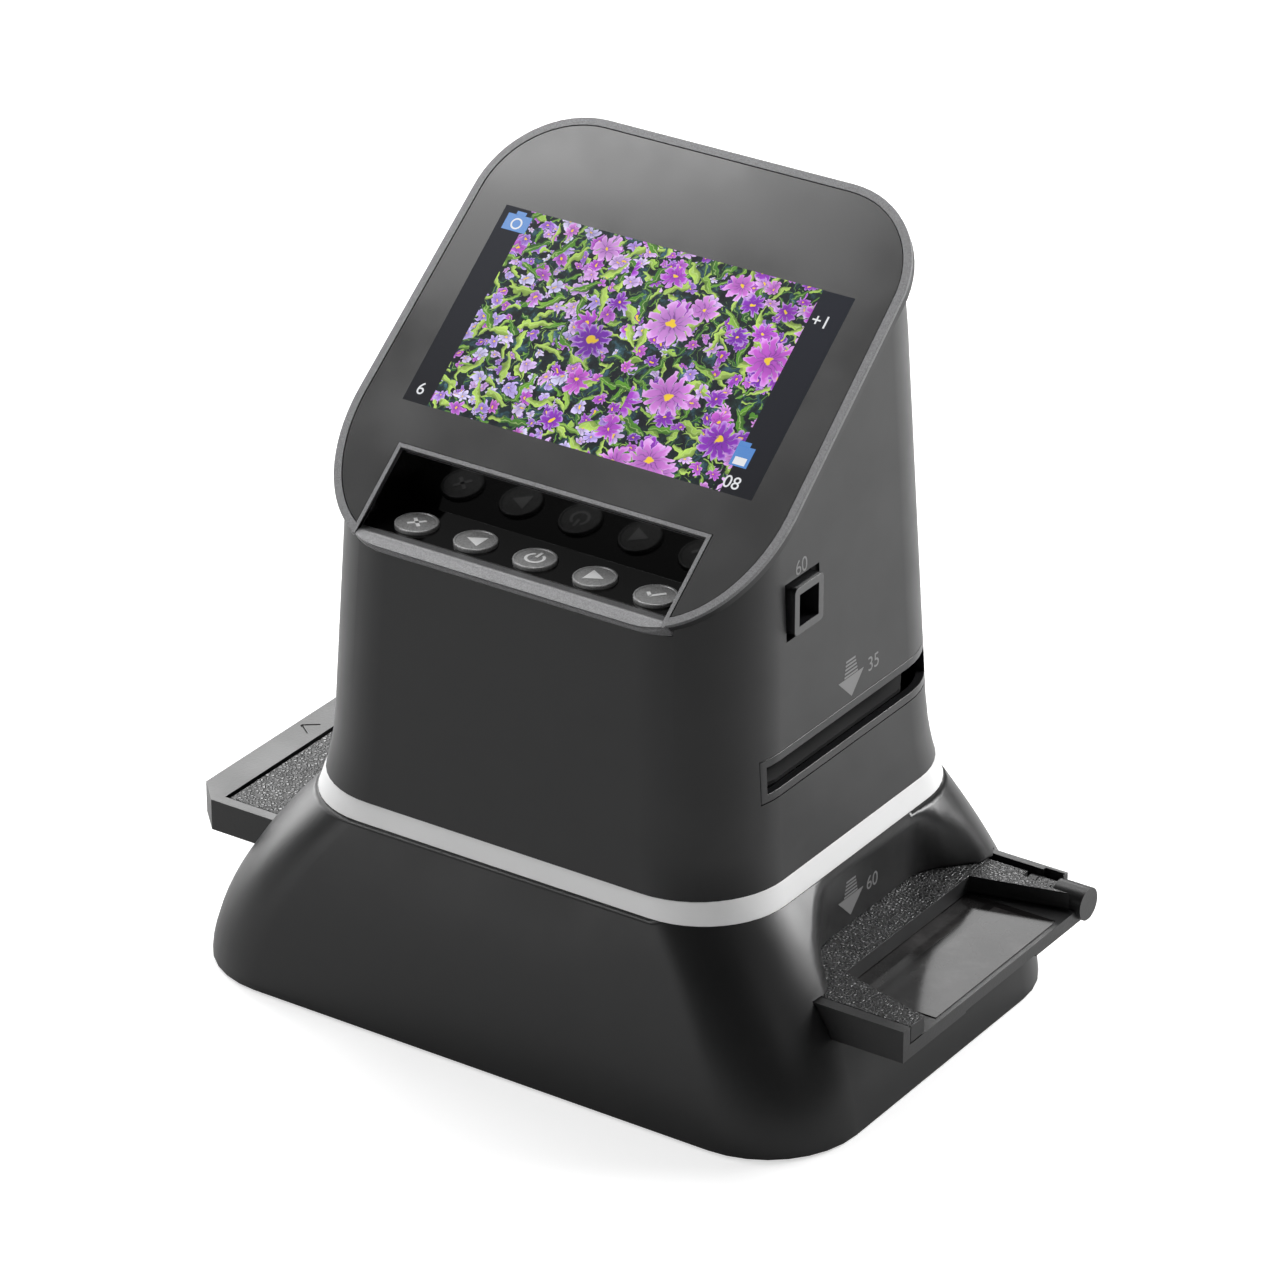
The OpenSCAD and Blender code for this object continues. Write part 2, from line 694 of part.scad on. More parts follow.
module button_deck() {
    color([0.02, 0.02, 0.022])
    difference() {
        intersection() {
            union() {
                translate([-recess_hw, -deck_front + 0.2, deck_z - deck_t])
                    cube([2 * recess_hw, deck_front - deck_back + 1.6, deck_t]);
                along_x(-recess_hw, recess_hw)
                    polygon([[-deck_back + 1.8, deck_z - deck_t], [-deck_back + 1.8, deck_z + 10],
                        [-deck_back - 0.6, deck_z + 34], [-deck_back - 5.1, deck_z + 34],
                        [-deck_back, deck_z], [-deck_back, deck_z - deck_t]]);
                for (x = [-recess_hw, recess_hw - strip_w])
                    along_x(x, x + strip_w)
                        polygon([[-deck_front + 0.2, deck_z - deck_t],
                            [-deck_back + 1.6, deck_z - deck_t], [-deck_back + 1.6, deck_z + 10],
                            [-deck_back - 0.8, deck_z + 34], [-deck_front + 0.2, deck_z + 34]]);
            }
            below_panel(-1.7);
        }
        for (i = [-2:2])
            translate([i * button_pitch, -button_y, deck_z - 10])
                cylinder(h = 20, r = button_r + button_gap);
    }
    color([0.02, 0.02, 0.022])
    for (i = [-1.5, -0.5, 0.5, 1.5])
        translate([i * button_pitch, -button_y + 7.4, bb_z1])
            cylinder(h = deck_z - deck_t - bb_z1, r = 1.8);
}

bb_z1 = deck_z - 9.4;

module button_board() {
    color([0.04, 0.25, 0.1])
    translate([-recess_hw + 2, -49.4, bb_z1 - 1.6]) cube([2 * recess_hw - 4, 18, 1.6]);
    color([0.3, 0.3, 0.32])
    for (i = [-2:2])
        translate([i * button_pitch, -button_y, bb_z1]) {
            translate([-3, -3, 0]) cube([6, 6, 2.6]);
            cylinder(h = 3.2, r = 1.5);
        }
}

// A round push button, its flange under the deck and its stem over the switch
module button(i) {
    z1 = deck_z + button_rise;
    zf = deck_z - deck_t - 0.3;
    color([0.5, 0.5, 0.5])
    translate([i * button_pitch, -button_y, 0]) rotate_extrude()
        polygon([[0, zf - 2.6], [1.6, zf - 2.6], [1.6, zf - 1.2], [button_r + 0.9, zf - 1.2],
            [button_r + 0.9, zf], [button_r, zf], [button_r, z1 - 0.35],
            [button_r - 0.12, z1 - 0.12], [button_r - 0.35, z1], [0, z1]]);
}

module button_clear() {
    button(-2);
}

module button_left() {
    button(-1);
}

module button_power() {
    button(0);
}

module button_right() {
    button(1);
}

module button_ok() {
    button(2);
}

// Square selector with a finger hole outside and a cam plate inside
module selector() {
    sx = tower_hw - tower_draft * (sel_z - tower_ref) + sel_out;
    color([0.06, 0.06, 0.065])
    difference() {
        union() {
            translate([sx - 20.5, -sel_y - sel_w / 2, sel_z - sel_w / 2])
                rotate([90, 0, 90]) linear_extrude(20.5) rrect(0, sel_w, 0, sel_w, 1.4);
            translate([-guide_x - 4, -sel_y - cam_t / 2, sel_z - cam_h / 2])
                cube([guide_x + 4 + sx - 20, cam_t, cam_h]);
        }
        translate([sx - sel_depth, -sel_y - sel_hole / 2, sel_z - sel_hole / 2])
            cube([sel_depth + 1, sel_hole, sel_hole]);
        // Slanted slot for the lens carriage's pin
        translate([0, cam_t - sel_y, pin_z]) rotate([90, 0, 0]) linear_extrude(2 * cam_t) {
            circle(r = pin_r + pin_gap);
            translate([-sel_travel, sel_travel]) circle(r = pin_r + pin_gap);
            rotate(135) translate([0, -pin_r - pin_gap])
                square([sel_travel * sqrt(2), 2 * (pin_r + pin_gap)]);
        }
    }
}

module selector_guides() {
    color([0.2, 0.2, 0.21])
    for (x = [-guide_x, guide_x])
        difference() {
            translate([x, -sel_y - 5, cf_z1])
                cube([guide_w, 10, sel_z + cam_h / 2 + 4 - cf_z1]);
            translate([x - 1, -sel_y - cam_t / 2 - sel_gap, sel_z - cam_h / 2 - sel_gap])
                cube([guide_w + 2, cam_t + 2 * sel_gap, cam_h + 2 * sel_gap]);
        }
}

module lens_carriage() {
    by = axis_y - lens_r - 2;
    color([0.1, 0.1, 0.11])
    difference() {
        union() {
            translate([-rod_x, axis_y - 6, pin_z - 3]) cube([2 * rod_x, 12, 6]);
            for (s = [-1, 1])
                translate([s * rod_x, axis_y, pin_z - 6]) cylinder(h = 12, r = rod_r + 2.6);
            translate([0, axis_y, pin_z - 6]) cylinder(h = 12, r = lens_r + 2);
            translate([0, by + 1, pin_z]) rotate([90, 0, 0])
                cylinder(h = by + 1 + sel_y + cam_t / 2 + 1.5, r = pin_r);
        }
        for (s = [-1, 1])
            translate([s * rod_x, axis_y, pin_z - 10]) cylinder(h = 20, r = rod_r + rod_gap);
        translate([0, axis_y, pin_z - 10]) cylinder(h = 20, r = lens_r);
    }
}

module lens_barrel() {
    color([0.03, 0.03, 0.03])
    translate([0, axis_y, pin_z]) rotate_extrude()
        polygon([[lens_r - 3.5, -9], [lens_r - 0.03, -9], [lens_r - 0.03, 9], [lens_r - 3.5, 9],
            [lens_r - 3.5, 6.5], [lens_r - 2, 6.5], [lens_r - 2, 2], [lens_r - 4.5, 2],
            [lens_r - 4.5, -2], [lens_r - 2, -2], [lens_r - 2, -6.5], [lens_r - 3.5, -6.5]]);
}

module lens_glass() {
    color([0.7, 0.8, 0.85, 0.5])
    translate([0, axis_y, pin_z])
    for (s = [-1, 1])
        intersection() {
            translate([0, 0, s > 0 ? 2 : -6.5]) cylinder(h = 4.5, r = lens_r - 2);
            translate([0, 0, s * 6.4 - s * 24]) sphere(r = 24);
        }
}

module guide_rods() {
    color([0.75, 0.75, 0.76])
    for (s = [-1, 1])
        translate([s * rod_x, axis_y, cf_z1]) cylinder(h = cf_top - cf_z1, r = rod_r);
}

module camera_frame() {
    color([0.15, 0.15, 0.16])
    difference() {
        union() {
            translate([-guide_x - guide_w - 2, -sel_y - 7, up_top])
                cube([2 * guide_x + 2 * guide_w + 4, sel_y + 7 + axis_y + 20, cf_t]);
            for (s = [-1, 1])
                translate([s * (col_x + 1.5) - 1.5, axis_y - 8, cf_z1 - 0.2])
                    cube([3, 16, cf_top - cf_z1 + 0.4]);
            translate([-col_x - 3, axis_y - 14, cf_top]) cube([2 * col_x + 6, 28, 2.5]);
        }
        translate([-18, axis_y - 12, up_top - 1]) cube([36, 24, cf_t + 2]);
    }
}

module sensor_board() {
    color([0.04, 0.25, 0.1])
    translate([-19, axis_y - 13, cf_top - 1.6]) cube([38, 26, 1.6]);
    color([0.2, 0.2, 0.22])
    translate([0, axis_y, cf_top - 6]) difference() {
        cylinder(h = 4.4, r = 8.5);
        translate([-4.5, -3.5, -1]) cube([9, 7, 4]);
    }
}

module channel_135() {
    yc0 = slot_y0 - channel_t;
    yc1 = slot_y1 + channel_t;
    xs = tower_hw - tower_wall - 0.7;
    plan = [[-xs + 2.2, yc0], [xs - 2.2, yc0], [xs, -26], [xs, 36], [xs - 8.4, yc1],
        [-xs + 8.4, yc1], [-xs, 36], [-xs, -26]];
    color([0.09, 0.09, 0.1])
    difference() {
        translate([0, 0, low_bot]) linear_extrude(up_top - low_bot) polygon(plan);
        translate([-90, slot_y0, low_top]) cube([180, slot_w, up_bot - low_top]);
        translate([-24, axis_y - 17, low_bot - 1]) cube([48, 34, 20]);
        for (s = [0, 1])
            mirror([s, 0, 0]) translate([0, slot_y1 + 0.01, 0]) rotate([90, 0, 0])
                linear_extrude(slot_w + 0.02)
                polygon([[xs - 3.4, low_top + 0.01], [xs + 1, slot_z], [xs + 1, low_top + 0.01]]);
    }
    color([0.09, 0.09, 0.1])
    for (p = io_posts)
        translate([p[0], p[1], up_top - 0.2]) cylinder(h = io_z - up_top + 0.2, r = 2.4);
}

io_z = up_top + 6.4;
io_posts = [[-31, 33], [31, 33], [-31, 48.4], [31, 48.4]];

module io_board() {
    color([0.04, 0.25, 0.1])
    translate([-34, 30.5, io_z]) cube([68, 26.5, 1.6]);
    color([0.2, 0.2, 0.22])
    translate([0, 34, io_z + 1.6]) cube([9, 9, 1.2]);
}

module card_socket() {
    color([0.6, 0.6, 0.62])
    difference() {
        translate([-29.6, 33, io_z + 1.6]) cube([26.6, 25.5, 3.4]);
        translate([-28.5, 36, io_z + 2.1]) cube([24.4, 30, 2.4]);
    }
}

module power_inlet() {
    color([0.7, 0.7, 0.72])
    difference() {
        translate([16.5, 59.4, io_z + 3.5]) rotate([90, 0, 0]) linear_extrude(8.4)
            rrect(-4.6, 4.6, -1.75, 1.75, 1.7);
        translate([16.5, 60, io_z + 3.5]) rotate([90, 0, 0]) linear_extrude(7.4)
            rrect(-4.2, 4.2, -1.35, 1.35, 1.3);
    }
    color([0.1, 0.1, 0.1])
    translate([13.4, 51.5, io_z + 3.15]) cube([6.2, 7, 0.7]);
    color([0.7, 0.7, 0.72])
    translate([12.4, 51.5, io_z + 1.6]) cube([8.2, 5, 0.4]);
}

module light_well() {
    color([0.85, 0.85, 0.85])
    difference() {
        translate([-well_hw - well_t, axis_y - well_hd - well_t, chan_hi + plate_t])
            cube([2 * (well_hw + well_t), 2 * (well_hd + well_t), low_bot - chan_hi - plate_t]);
        translate([-well_hw, axis_y - well_hd, chan_hi]) cube([2 * well_hw, 2 * well_hd, 100]);
    }
}

// Film channel through the base: floor, two side rails and a roof
module channel_120() {
    color([0.09, 0.09, 0.1])
    difference() {
        union() {
            translate([0, 0, chan_lo - plate_t]) linear_extrude(plate_t)
                polygon([[-88, -chan_f - plate_t], [88, -chan_f - plate_t], [88, 43],
                    [81, chan_b + plate_t], [-81, chan_b + plate_t], [-88, 43]]);
            translate([-82, -chan_f - plate_t, chan_lo - 0.5])
                cube([164, plate_t, chan_hi + plate_t - chan_lo + 0.5]);
            translate([-75, chan_b, chan_lo - 0.5])
                cube([150, plate_t, chan_hi + plate_t - chan_lo + 0.5]);
            translate([-pocket_x + base_wall + 0.4, -chan_f - plate_t, chan_hi])
                cube([2 * (pocket_x - base_wall - 0.4), chan_f + chan_b + 2 * plate_t, plate_t]);
        }
        translate([-well_hw, axis_y - well_hd, chan_lo - 10]) cube([2 * well_hw, 2 * well_hd, 40]);
    }
}

bl_hw = well_hw + 6;
bl_hd = well_hd + 6;
bl_z1 = chan_lo - plate_t;

module backlight_box() {
    color([0.9, 0.9, 0.9])
    difference() {
        translate([-bl_hw, axis_y - bl_hd, bottom_z1]) cube([2 * bl_hw, 2 * bl_hd, bl_z1 - bottom_z1]);
        translate([-bl_hw + 4, axis_y - bl_hd + 4, bottom_z1 + 2])
            cube([2 * bl_hw - 8, 2 * bl_hd - 8, 40]);
        translate([-bl_hw + 2, axis_y - bl_hd + 2, bl_z1 - 3.6]) cube([2 * bl_hw - 4, 2 * bl_hd - 4, 10]);
    }
}

module diffuser() {
    color([0.97, 0.97, 0.95, 0.8])
    translate([-bl_hw + 2.1, axis_y - bl_hd + 2.1, bl_z1 - 3.6])
        cube([2 * bl_hw - 4.2, 2 * bl_hd - 4.2, 2.4]);
}

module led_board() {
    color([0.95, 0.95, 0.95])
    translate([-bl_hw + 4.1, axis_y - bl_hd + 4.1, bottom_z1 + 2])
        cube([2 * bl_hw - 8.2, 2 * bl_hd - 8.2, 1.6]);
    color([0.95, 0.9, 0.6])
    for (i = [-2:2])
        for (j = [-2:2])
            translate([i * 12 - 1.75, axis_y + j * 11 - 1.4, bottom_z1 + 3.6]) cube([3.5, 2.8, 0.8]);
}

// Hinge knuckle shape along X
module knuckle(x0, x1, r) {
    translate([x0, hinge_y, hinge_z]) rotate([0, 90, 0]) cylinder(h = x1 - x0, r = r);
}

module windows(z0, z1) {
    for (i = [-1:1])
        translate([i * (win_l + win_bar) - win_l / 2, axis_y - well_hd, z0])
            cube([win_l, 2 * well_hd, z1 - z0]);
}

module holder_tray() {
    color([0.06, 0.06, 0.065])
    difference() {
        union() {
            difference() {
                translate([0, 0, holder_z]) linear_extrude(holder_t)
                    polygon([[hx0, -holder_front + 7.6], [hx0 + 7.6, -holder_front],
                        [tray_x1, -holder_front], [tray_x1, holder_back], [hx0 + 2, holder_back],
                        [hx0, holder_back - 2]]);
                translate([hx0 + rim_l, -holder_front + rim_f, tray_top])
                    cube([holder_l, rail_y + holder_front - rim_f, holder_t]);
                translate([st_a, rail_y - 1, tray_top]) cube([30, 10, holder_t]);
            }
            knuckle(st_a, hx1, barrel_r);
            knuckle(st_c, st_b - 0.2, knuckle_r);
            knuckle(hx0 + rim_l - 1, sl_a, knuckle_r);
            knuckle(sl_b + 0.2, sl_c, knuckle_r);
            for (r = [[st_c, st_b - 0.2], [hx0 + rim_l, sl_a], [sl_b + 0.2, sl_c]])
                translate([r[0], hinge_y - 1, tray_top - 0.5])
                    cube([r[1] - r[0], rail_y - hinge_y + 1.2, hinge_z - tray_top + 0.5]);
        }
        // Room for the cover's knuckles
        translate([st_b, hinge_y - knuckle_r - 0.3, hinge_z - knuckle_r - 0.3])
            cube([st_a - st_b - 0.2, 2 * knuckle_r + 0.6, 20]);
        translate([sl_a + 0.2, hinge_y - knuckle_r - 0.3, hinge_z - knuckle_r - 0.3])
            cube([sl_b - sl_a - 0.2, 2 * knuckle_r + 0.6, 20]);
        windows(holder_z - 1, tray_top + 1);
        knuckle(st_c - 1, hx1 - 1.4, hpin_r + 0.03);
        knuckle(hx0 + rim_l - 0.6, sl_c + 1, hpin_r + 0.03);
        // Insertion mark on the rim of the closed end
        for (s = [-1, 1])
            translate([hx0 + 2, axis_y, hold_top - 0.4]) rotate([0, 0, s * 37])
                translate([0, -0.35, 0]) cube([5.4, 0.7, 2]);
        // Stop pocket under the open end
        translate([tray_x1 - 3, axis_y - 18, holder_z - 1]) cube([10, 36, 1.6]);
    }
}

module holder_cover() {
    color([0.07, 0.07, 0.075])
    difference() {
        union() {
            difference() {
                translate([cover_x0, cover_y0, cover_z])
                    cube([tray_x1 - cover_x0, cover_y1 - cover_y0, hold_top - cover_z]);
                translate([st_c - 0.3, arm_y, cover_z - 1]) cube([60, 20, 20]);
                translate([st_a - 0.3, hinge_y - barrel_r - 0.3, cover_z - 1]) cube([60, 20, 20]);
                translate([cover_x0 - 1, arm_y, cover_z - 1])
                    cube([sl_c + 0.3 - cover_x0 + 1, 20, 20]);
            }
            for (r = [[st_b, st_a - 0.4], [sl_a + 0.4, sl_b]]) {
                knuckle(r[0] + 0.1, r[1] - 0.1, knuckle_r);
                translate([r[0] + 0.1, arm_y - 1, cover_z])
                    cube([r[1] - r[0] - 0.2, hinge_y - arm_y + 1, hinge_z + knuckle_r - cover_z - 1]);
            }
        }
        windows(cover_z - 1, hold_top + 1);
        // Open notch at the feeding end, wider at its mouth
        translate([0, 0, cover_z - 1]) linear_extrude(20)
            polygon([[notch_x, axis_y - notch_w0], [notch_x, axis_y + notch_w0],
                [tray_x1 + 1, axis_y + notch_w1], [tray_x1 + 1, axis_y - notch_w1 - 0.4]]);
        knuckle(st_b - 1, st_a + 1, hpin_r + 0.05);
        knuckle(sl_a - 1, sl_b + 1, hpin_r + 0.05);
    }
}

module hinge_pins() {
    color([0.7, 0.7, 0.7])
    union() {
        knuckle(st_c + 0.3, hx1 - 1.6, hpin_r);
        knuckle(hx0 + rim_l - 0.4, sl_c - 0.2, hpin_r);
    }
}

module film_strip() {
    color([0.2, 0.18, 0.17, 0.9])
    translate([hx0 + 13.4, axis_y - film_w / 2, film_z])
        cube([tray_x1 - 1.5 - hx0 - 13.4, film_w, film_t]);
}

base_shell();
bottom_cover();
rubber_feet();
bottom_screw_set();
tower_screw_set();
light_ring();
ring_led_strips();
slot_frame_right();
slot_frame_left();
tower_shell();
bezel();
front_glass();
display_module();
standoffs();
main_board();
button_deck();
button_board();
button_clear();
button_left();
button_power();
button_right();
button_ok();
selector();
selector_guides();
lens_carriage();
lens_barrel();
lens_glass();
guide_rods();
camera_frame();
sensor_board();
channel_135();
io_board();
card_socket();
power_inlet();
light_well();
channel_120();
backlight_box();
diffuser();
led_board();
holder_tray();
holder_cover();
hinge_pins();
film_strip();
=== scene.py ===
import math

import bpy
from mathutils import Matrix, Vector


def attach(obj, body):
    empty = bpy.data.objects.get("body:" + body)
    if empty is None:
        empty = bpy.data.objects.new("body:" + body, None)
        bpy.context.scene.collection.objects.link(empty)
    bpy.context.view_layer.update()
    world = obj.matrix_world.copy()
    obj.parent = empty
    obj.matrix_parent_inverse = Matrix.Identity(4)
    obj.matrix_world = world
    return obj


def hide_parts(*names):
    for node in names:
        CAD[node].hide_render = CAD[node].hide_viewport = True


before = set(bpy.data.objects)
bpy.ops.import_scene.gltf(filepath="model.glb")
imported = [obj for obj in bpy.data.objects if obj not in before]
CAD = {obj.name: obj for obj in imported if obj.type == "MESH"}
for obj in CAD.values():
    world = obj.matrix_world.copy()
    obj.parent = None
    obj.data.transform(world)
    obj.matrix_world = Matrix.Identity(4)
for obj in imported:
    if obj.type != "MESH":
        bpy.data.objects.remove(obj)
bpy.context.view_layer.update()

# Sizes and places of the scanner are in millimetres and turn into metres where a mesh is made.
MM = 0.001

# The sloping face: its plane, the glass a little below it, the lit plate and the picture's two sides.
PANEL_TILT = math.radians(38.3)
PANEL_ORIGIN = Vector((0, 1.3, 184.7)) * MM
PANEL = Matrix.Translation(PANEL_ORIGIN) @ Matrix.Rotation(PANEL_TILT, 4, "X")
GLASS_TOP = -0.15
SCREEN_W = 110.7
SCREEN_H = 62.3
PICTURE_LEFT = -47.2
PICTURE_RIGHT = 45.5

# The tower's right wall leans in as it rises. The wall over the holder's pocket stands upright.
SIDE_DRAFT = 0.042
SIDE_X = 68.3
SIDE_Z = 96
POCKET_X = 74
FACING_RIGHT = Matrix(((0, 0, 1, 0), (1, 0, 0, 0), (0, 1, 0, 0), (0, 0, 0, 1)))

# The row of push buttons, which stand proud of their tray.
DECK_Z = 140
BUTTON_TOP = DECK_Z + 1
BUTTON_Y = -41.2
BUTTON_PITCH = 19
BUTTON_R = 5.9

# How thick printed marks are, and how far they lie over the glass or under the buttons' rims.
INK = 0.06
SIGN_LIFT = 0.04
UPPER_SIGN_LIFT = 0.07
MARK_DEPTH = 0.08

# Corners closer than this are one corner, in a copy of a CAD solid.
WELD = 0.01 * MM


# ---------------------------------------------------------------- places

def shift(x, y, z):
    return Matrix.Translation(Vector((x, y, z)) * MM)


def turned(angle):
    """A turn about Z by an angle in degrees."""
    return Matrix.Rotation(math.radians(angle), 4, "Z")


def on_screen(u, v, w):
    """A place on the sloping face: U to the right, V up the slope, W out of it."""
    return PANEL @ shift(u, v, w)


def on_tower(y, z):
    """A place on the tower's right wall, with X to the back, Y up the wall and Z out of it."""
    lean = Matrix.Rotation(-math.atan(SIDE_DRAFT), 4, "Y")
    return shift(SIDE_X - SIDE_DRAFT * (z - SIDE_Z), y, z) @ lean @ FACING_RIGHT


def on_pocket(y, z):
    """The same on the upright wall over the right opening of the film holder."""
    return shift(POCKET_X, y, z) @ FACING_RIGHT


# ---------------------------------------------------------------- modelling helpers

def nothing_selected():
    if bpy.context.object and bpy.context.object.mode != "OBJECT":
        bpy.ops.object.mode_set(mode="OBJECT")
    bpy.ops.object.select_all(action="DESELECT")


def take(piece):
    nothing_selected()
    piece.select_set(True)
    bpy.context.view_layer.objects.active = piece


def edit(piece, how="FACE"):
    take(piece)
    bpy.ops.object.mode_set(mode="EDIT")
    bpy.ops.mesh.select_mode(type=how)
    bpy.ops.mesh.select_all(action="DESELECT")


def done():
    bpy.ops.object.mode_set(mode="OBJECT")


def pick(piece, wanted):
    """Selects the faces whose centre and normal pass the test, in edit mode."""
    bpy.ops.object.mode_set(mode="OBJECT")
    for face in piece.data.polygons:
        face.select = bool(wanted(face.center, face.normal))
    bpy.ops.object.mode_set(mode="EDIT")


def settle():
    """Writes the piece's place, turn and size into its mesh."""
    bpy.ops.object.transform_apply(location=True, rotation=True, scale=True)


def place(piece, matrix):
    """Puts a piece where it belongs."""
    take(piece)
    piece.matrix_world = matrix @ piece.matrix_world
    settle()


def named(name):
    piece = bpy.context.object
    piece.name = name
    piece.data.name = name
    return piece


def box(name, low, high):
    nothing_selected()
    low = Vector(low) * MM
    high = Vector(high) * MM
    bpy.ops.mesh.primitive_cube_add(size=1, location=(low + high) / 2)
    piece = named(name)
    piece.scale = high - low
    settle()
    return piece


def disc(name, radius, low, high, sides):
    nothing_selected()
    bpy.ops.mesh.primitive_cylinder_add(vertices=sides, radius=radius * MM, depth=(high - low) * MM,
                                        location=(0, 0, (high + low) / 2 * MM))
    piece = named(name)
    settle()
    return piece


def joined(name, pieces):
    nothing_selected()
    for piece in pieces:
        piece.select_set(True)
    bpy.context.view_layer.objects.active = pieces[0]
    bpy.ops.object.join()
    return named(name)


def copy_of(piece):
    twin = piece.copy()
    twin.data = piece.data.copy()
    bpy.context.scene.collection.objects.link(twin)
    return twin


def round_edges(piece, width, segments=2, angle=32):
    """Rounds the edges that turn by more than the angle in degrees."""
    take(piece)
    bevel = piece.modifiers.new("edges", "BEVEL")
    bevel.width = width * MM
    bevel.segments = segments
    bevel.limit_method = "ANGLE"
    bevel.angle_limit = math.radians(angle)
    bevel.harden_normals = False
    bpy.ops.object.modifier_apply(modifier=bevel.name)


def smooth(piece, angle):
    take(piece)
    bpy.ops.object.shade_smooth_by_angle(angle=math.radians(angle))


def bar(name, length, width, angle=0.0, at=(0, 0)):
    """A flat printed stroke round a point, turned by an angle in degrees."""
    piece = box(name, (-length / 2, -width / 2, -INK / 2), (length / 2, width / 2, INK / 2))
    place(piece, shift(*at, 0) @ turned(angle))
    return piece


def triangle(name, radius):
    """A flat printed triangle that points along Y."""
    nothing_selected()
    bpy.ops.mesh.primitive_cylinder_add(vertices=3, radius=radius * MM, depth=INK * MM)
    return named(name)


def wedge(name, radius, angle, at):
    """A triangle that points along X before it is turned by an angle in degrees."""
    piece = triangle(name, radius)
    place(piece, shift(*at, 0) @ turned(angle) @ turned(-90))
    return piece


def hoop(name, radius, stroke, gap=0.0):
    """A flat printed ring, open at the top by the gap in degrees each way."""
    nothing_selected()
    bpy.ops.mesh.primitive_torus_add(major_radius=radius * MM, minor_radius=stroke / 2 * MM,
                                     major_segments=72, minor_segments=8)
    piece = named(name)
    piece.scale = (1, 1, INK / stroke)
    settle()
    if gap:
        edit(piece)
        pick(piece, lambda centre, _: abs(math.degrees(math.atan2(centre.x, centre.y))) < gap)
        bpy.ops.mesh.delete(type="FACE")
        bpy.ops.mesh.select_all(action="SELECT")
        bpy.ops.mesh.fill_holes(sides=0)
        done()
    return piece


def numerals(name, text, height):
    """Plain figures as thick as the ink, with their lower left corner at the origin."""
    nothing_selected()
    bpy.ops.object.text_add()
    words = bpy.context.object
    words.data.body = text
    words.data.extrude = 0.05
    bpy.ops.object.convert(target="MESH")
    piece = named(name)
    low = Vector(piece.bound_box[0])
    high = Vector(piece.bound_box[6])
    size = height * MM / (high.y - low.y)
    thickness = INK * MM / (high.z - low.z)
    place(piece, Matrix.Diagonal((size, size, thickness, 1))
          @ Matrix.Translation((-low.x, -low.y, -(low.z + high.z) / 2)))
    return piece


def skin_of(node, edge=0.0, segments=2, smooth_angle=35, merge_angle=0.3):
    """A merged copy of a CAD node with rounded edges and smooth shading, shown in its place."""
    nothing_selected()
    piece = bpy.data.objects.new(node + "_skin", CAD[node].data.copy())
    bpy.context.scene.collection.objects.link(piece)
    piece.data.name = node + "_skin"
    edit(piece, "VERT")
    bpy.ops.mesh.select_all(action="SELECT")
    bpy.ops.mesh.remove_doubles(threshold=WELD)
    bpy.ops.mesh.dissolve_limited(angle_limit=math.radians(merge_angle), use_dissolve_boundaries=False)
    done()
    if edge:
        round_edges(piece, edge, segments)
    smooth(piece, smooth_angle)
    weighted = piece.modifiers.new("shading", "WEIGHTED_NORMAL")
    weighted.keep_sharp = True
    weighted.weight = 60
    bpy.ops.object.modifier_apply(modifier=weighted.name)
    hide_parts(node)
    return piece


def dress(piece, material, body):
    """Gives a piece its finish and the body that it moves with."""
    piece.data.materials.clear()
    piece.data.materials.append(material)
    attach(piece, body)
    return piece


# ---------------------------------------------------------------- nodes for the finishes

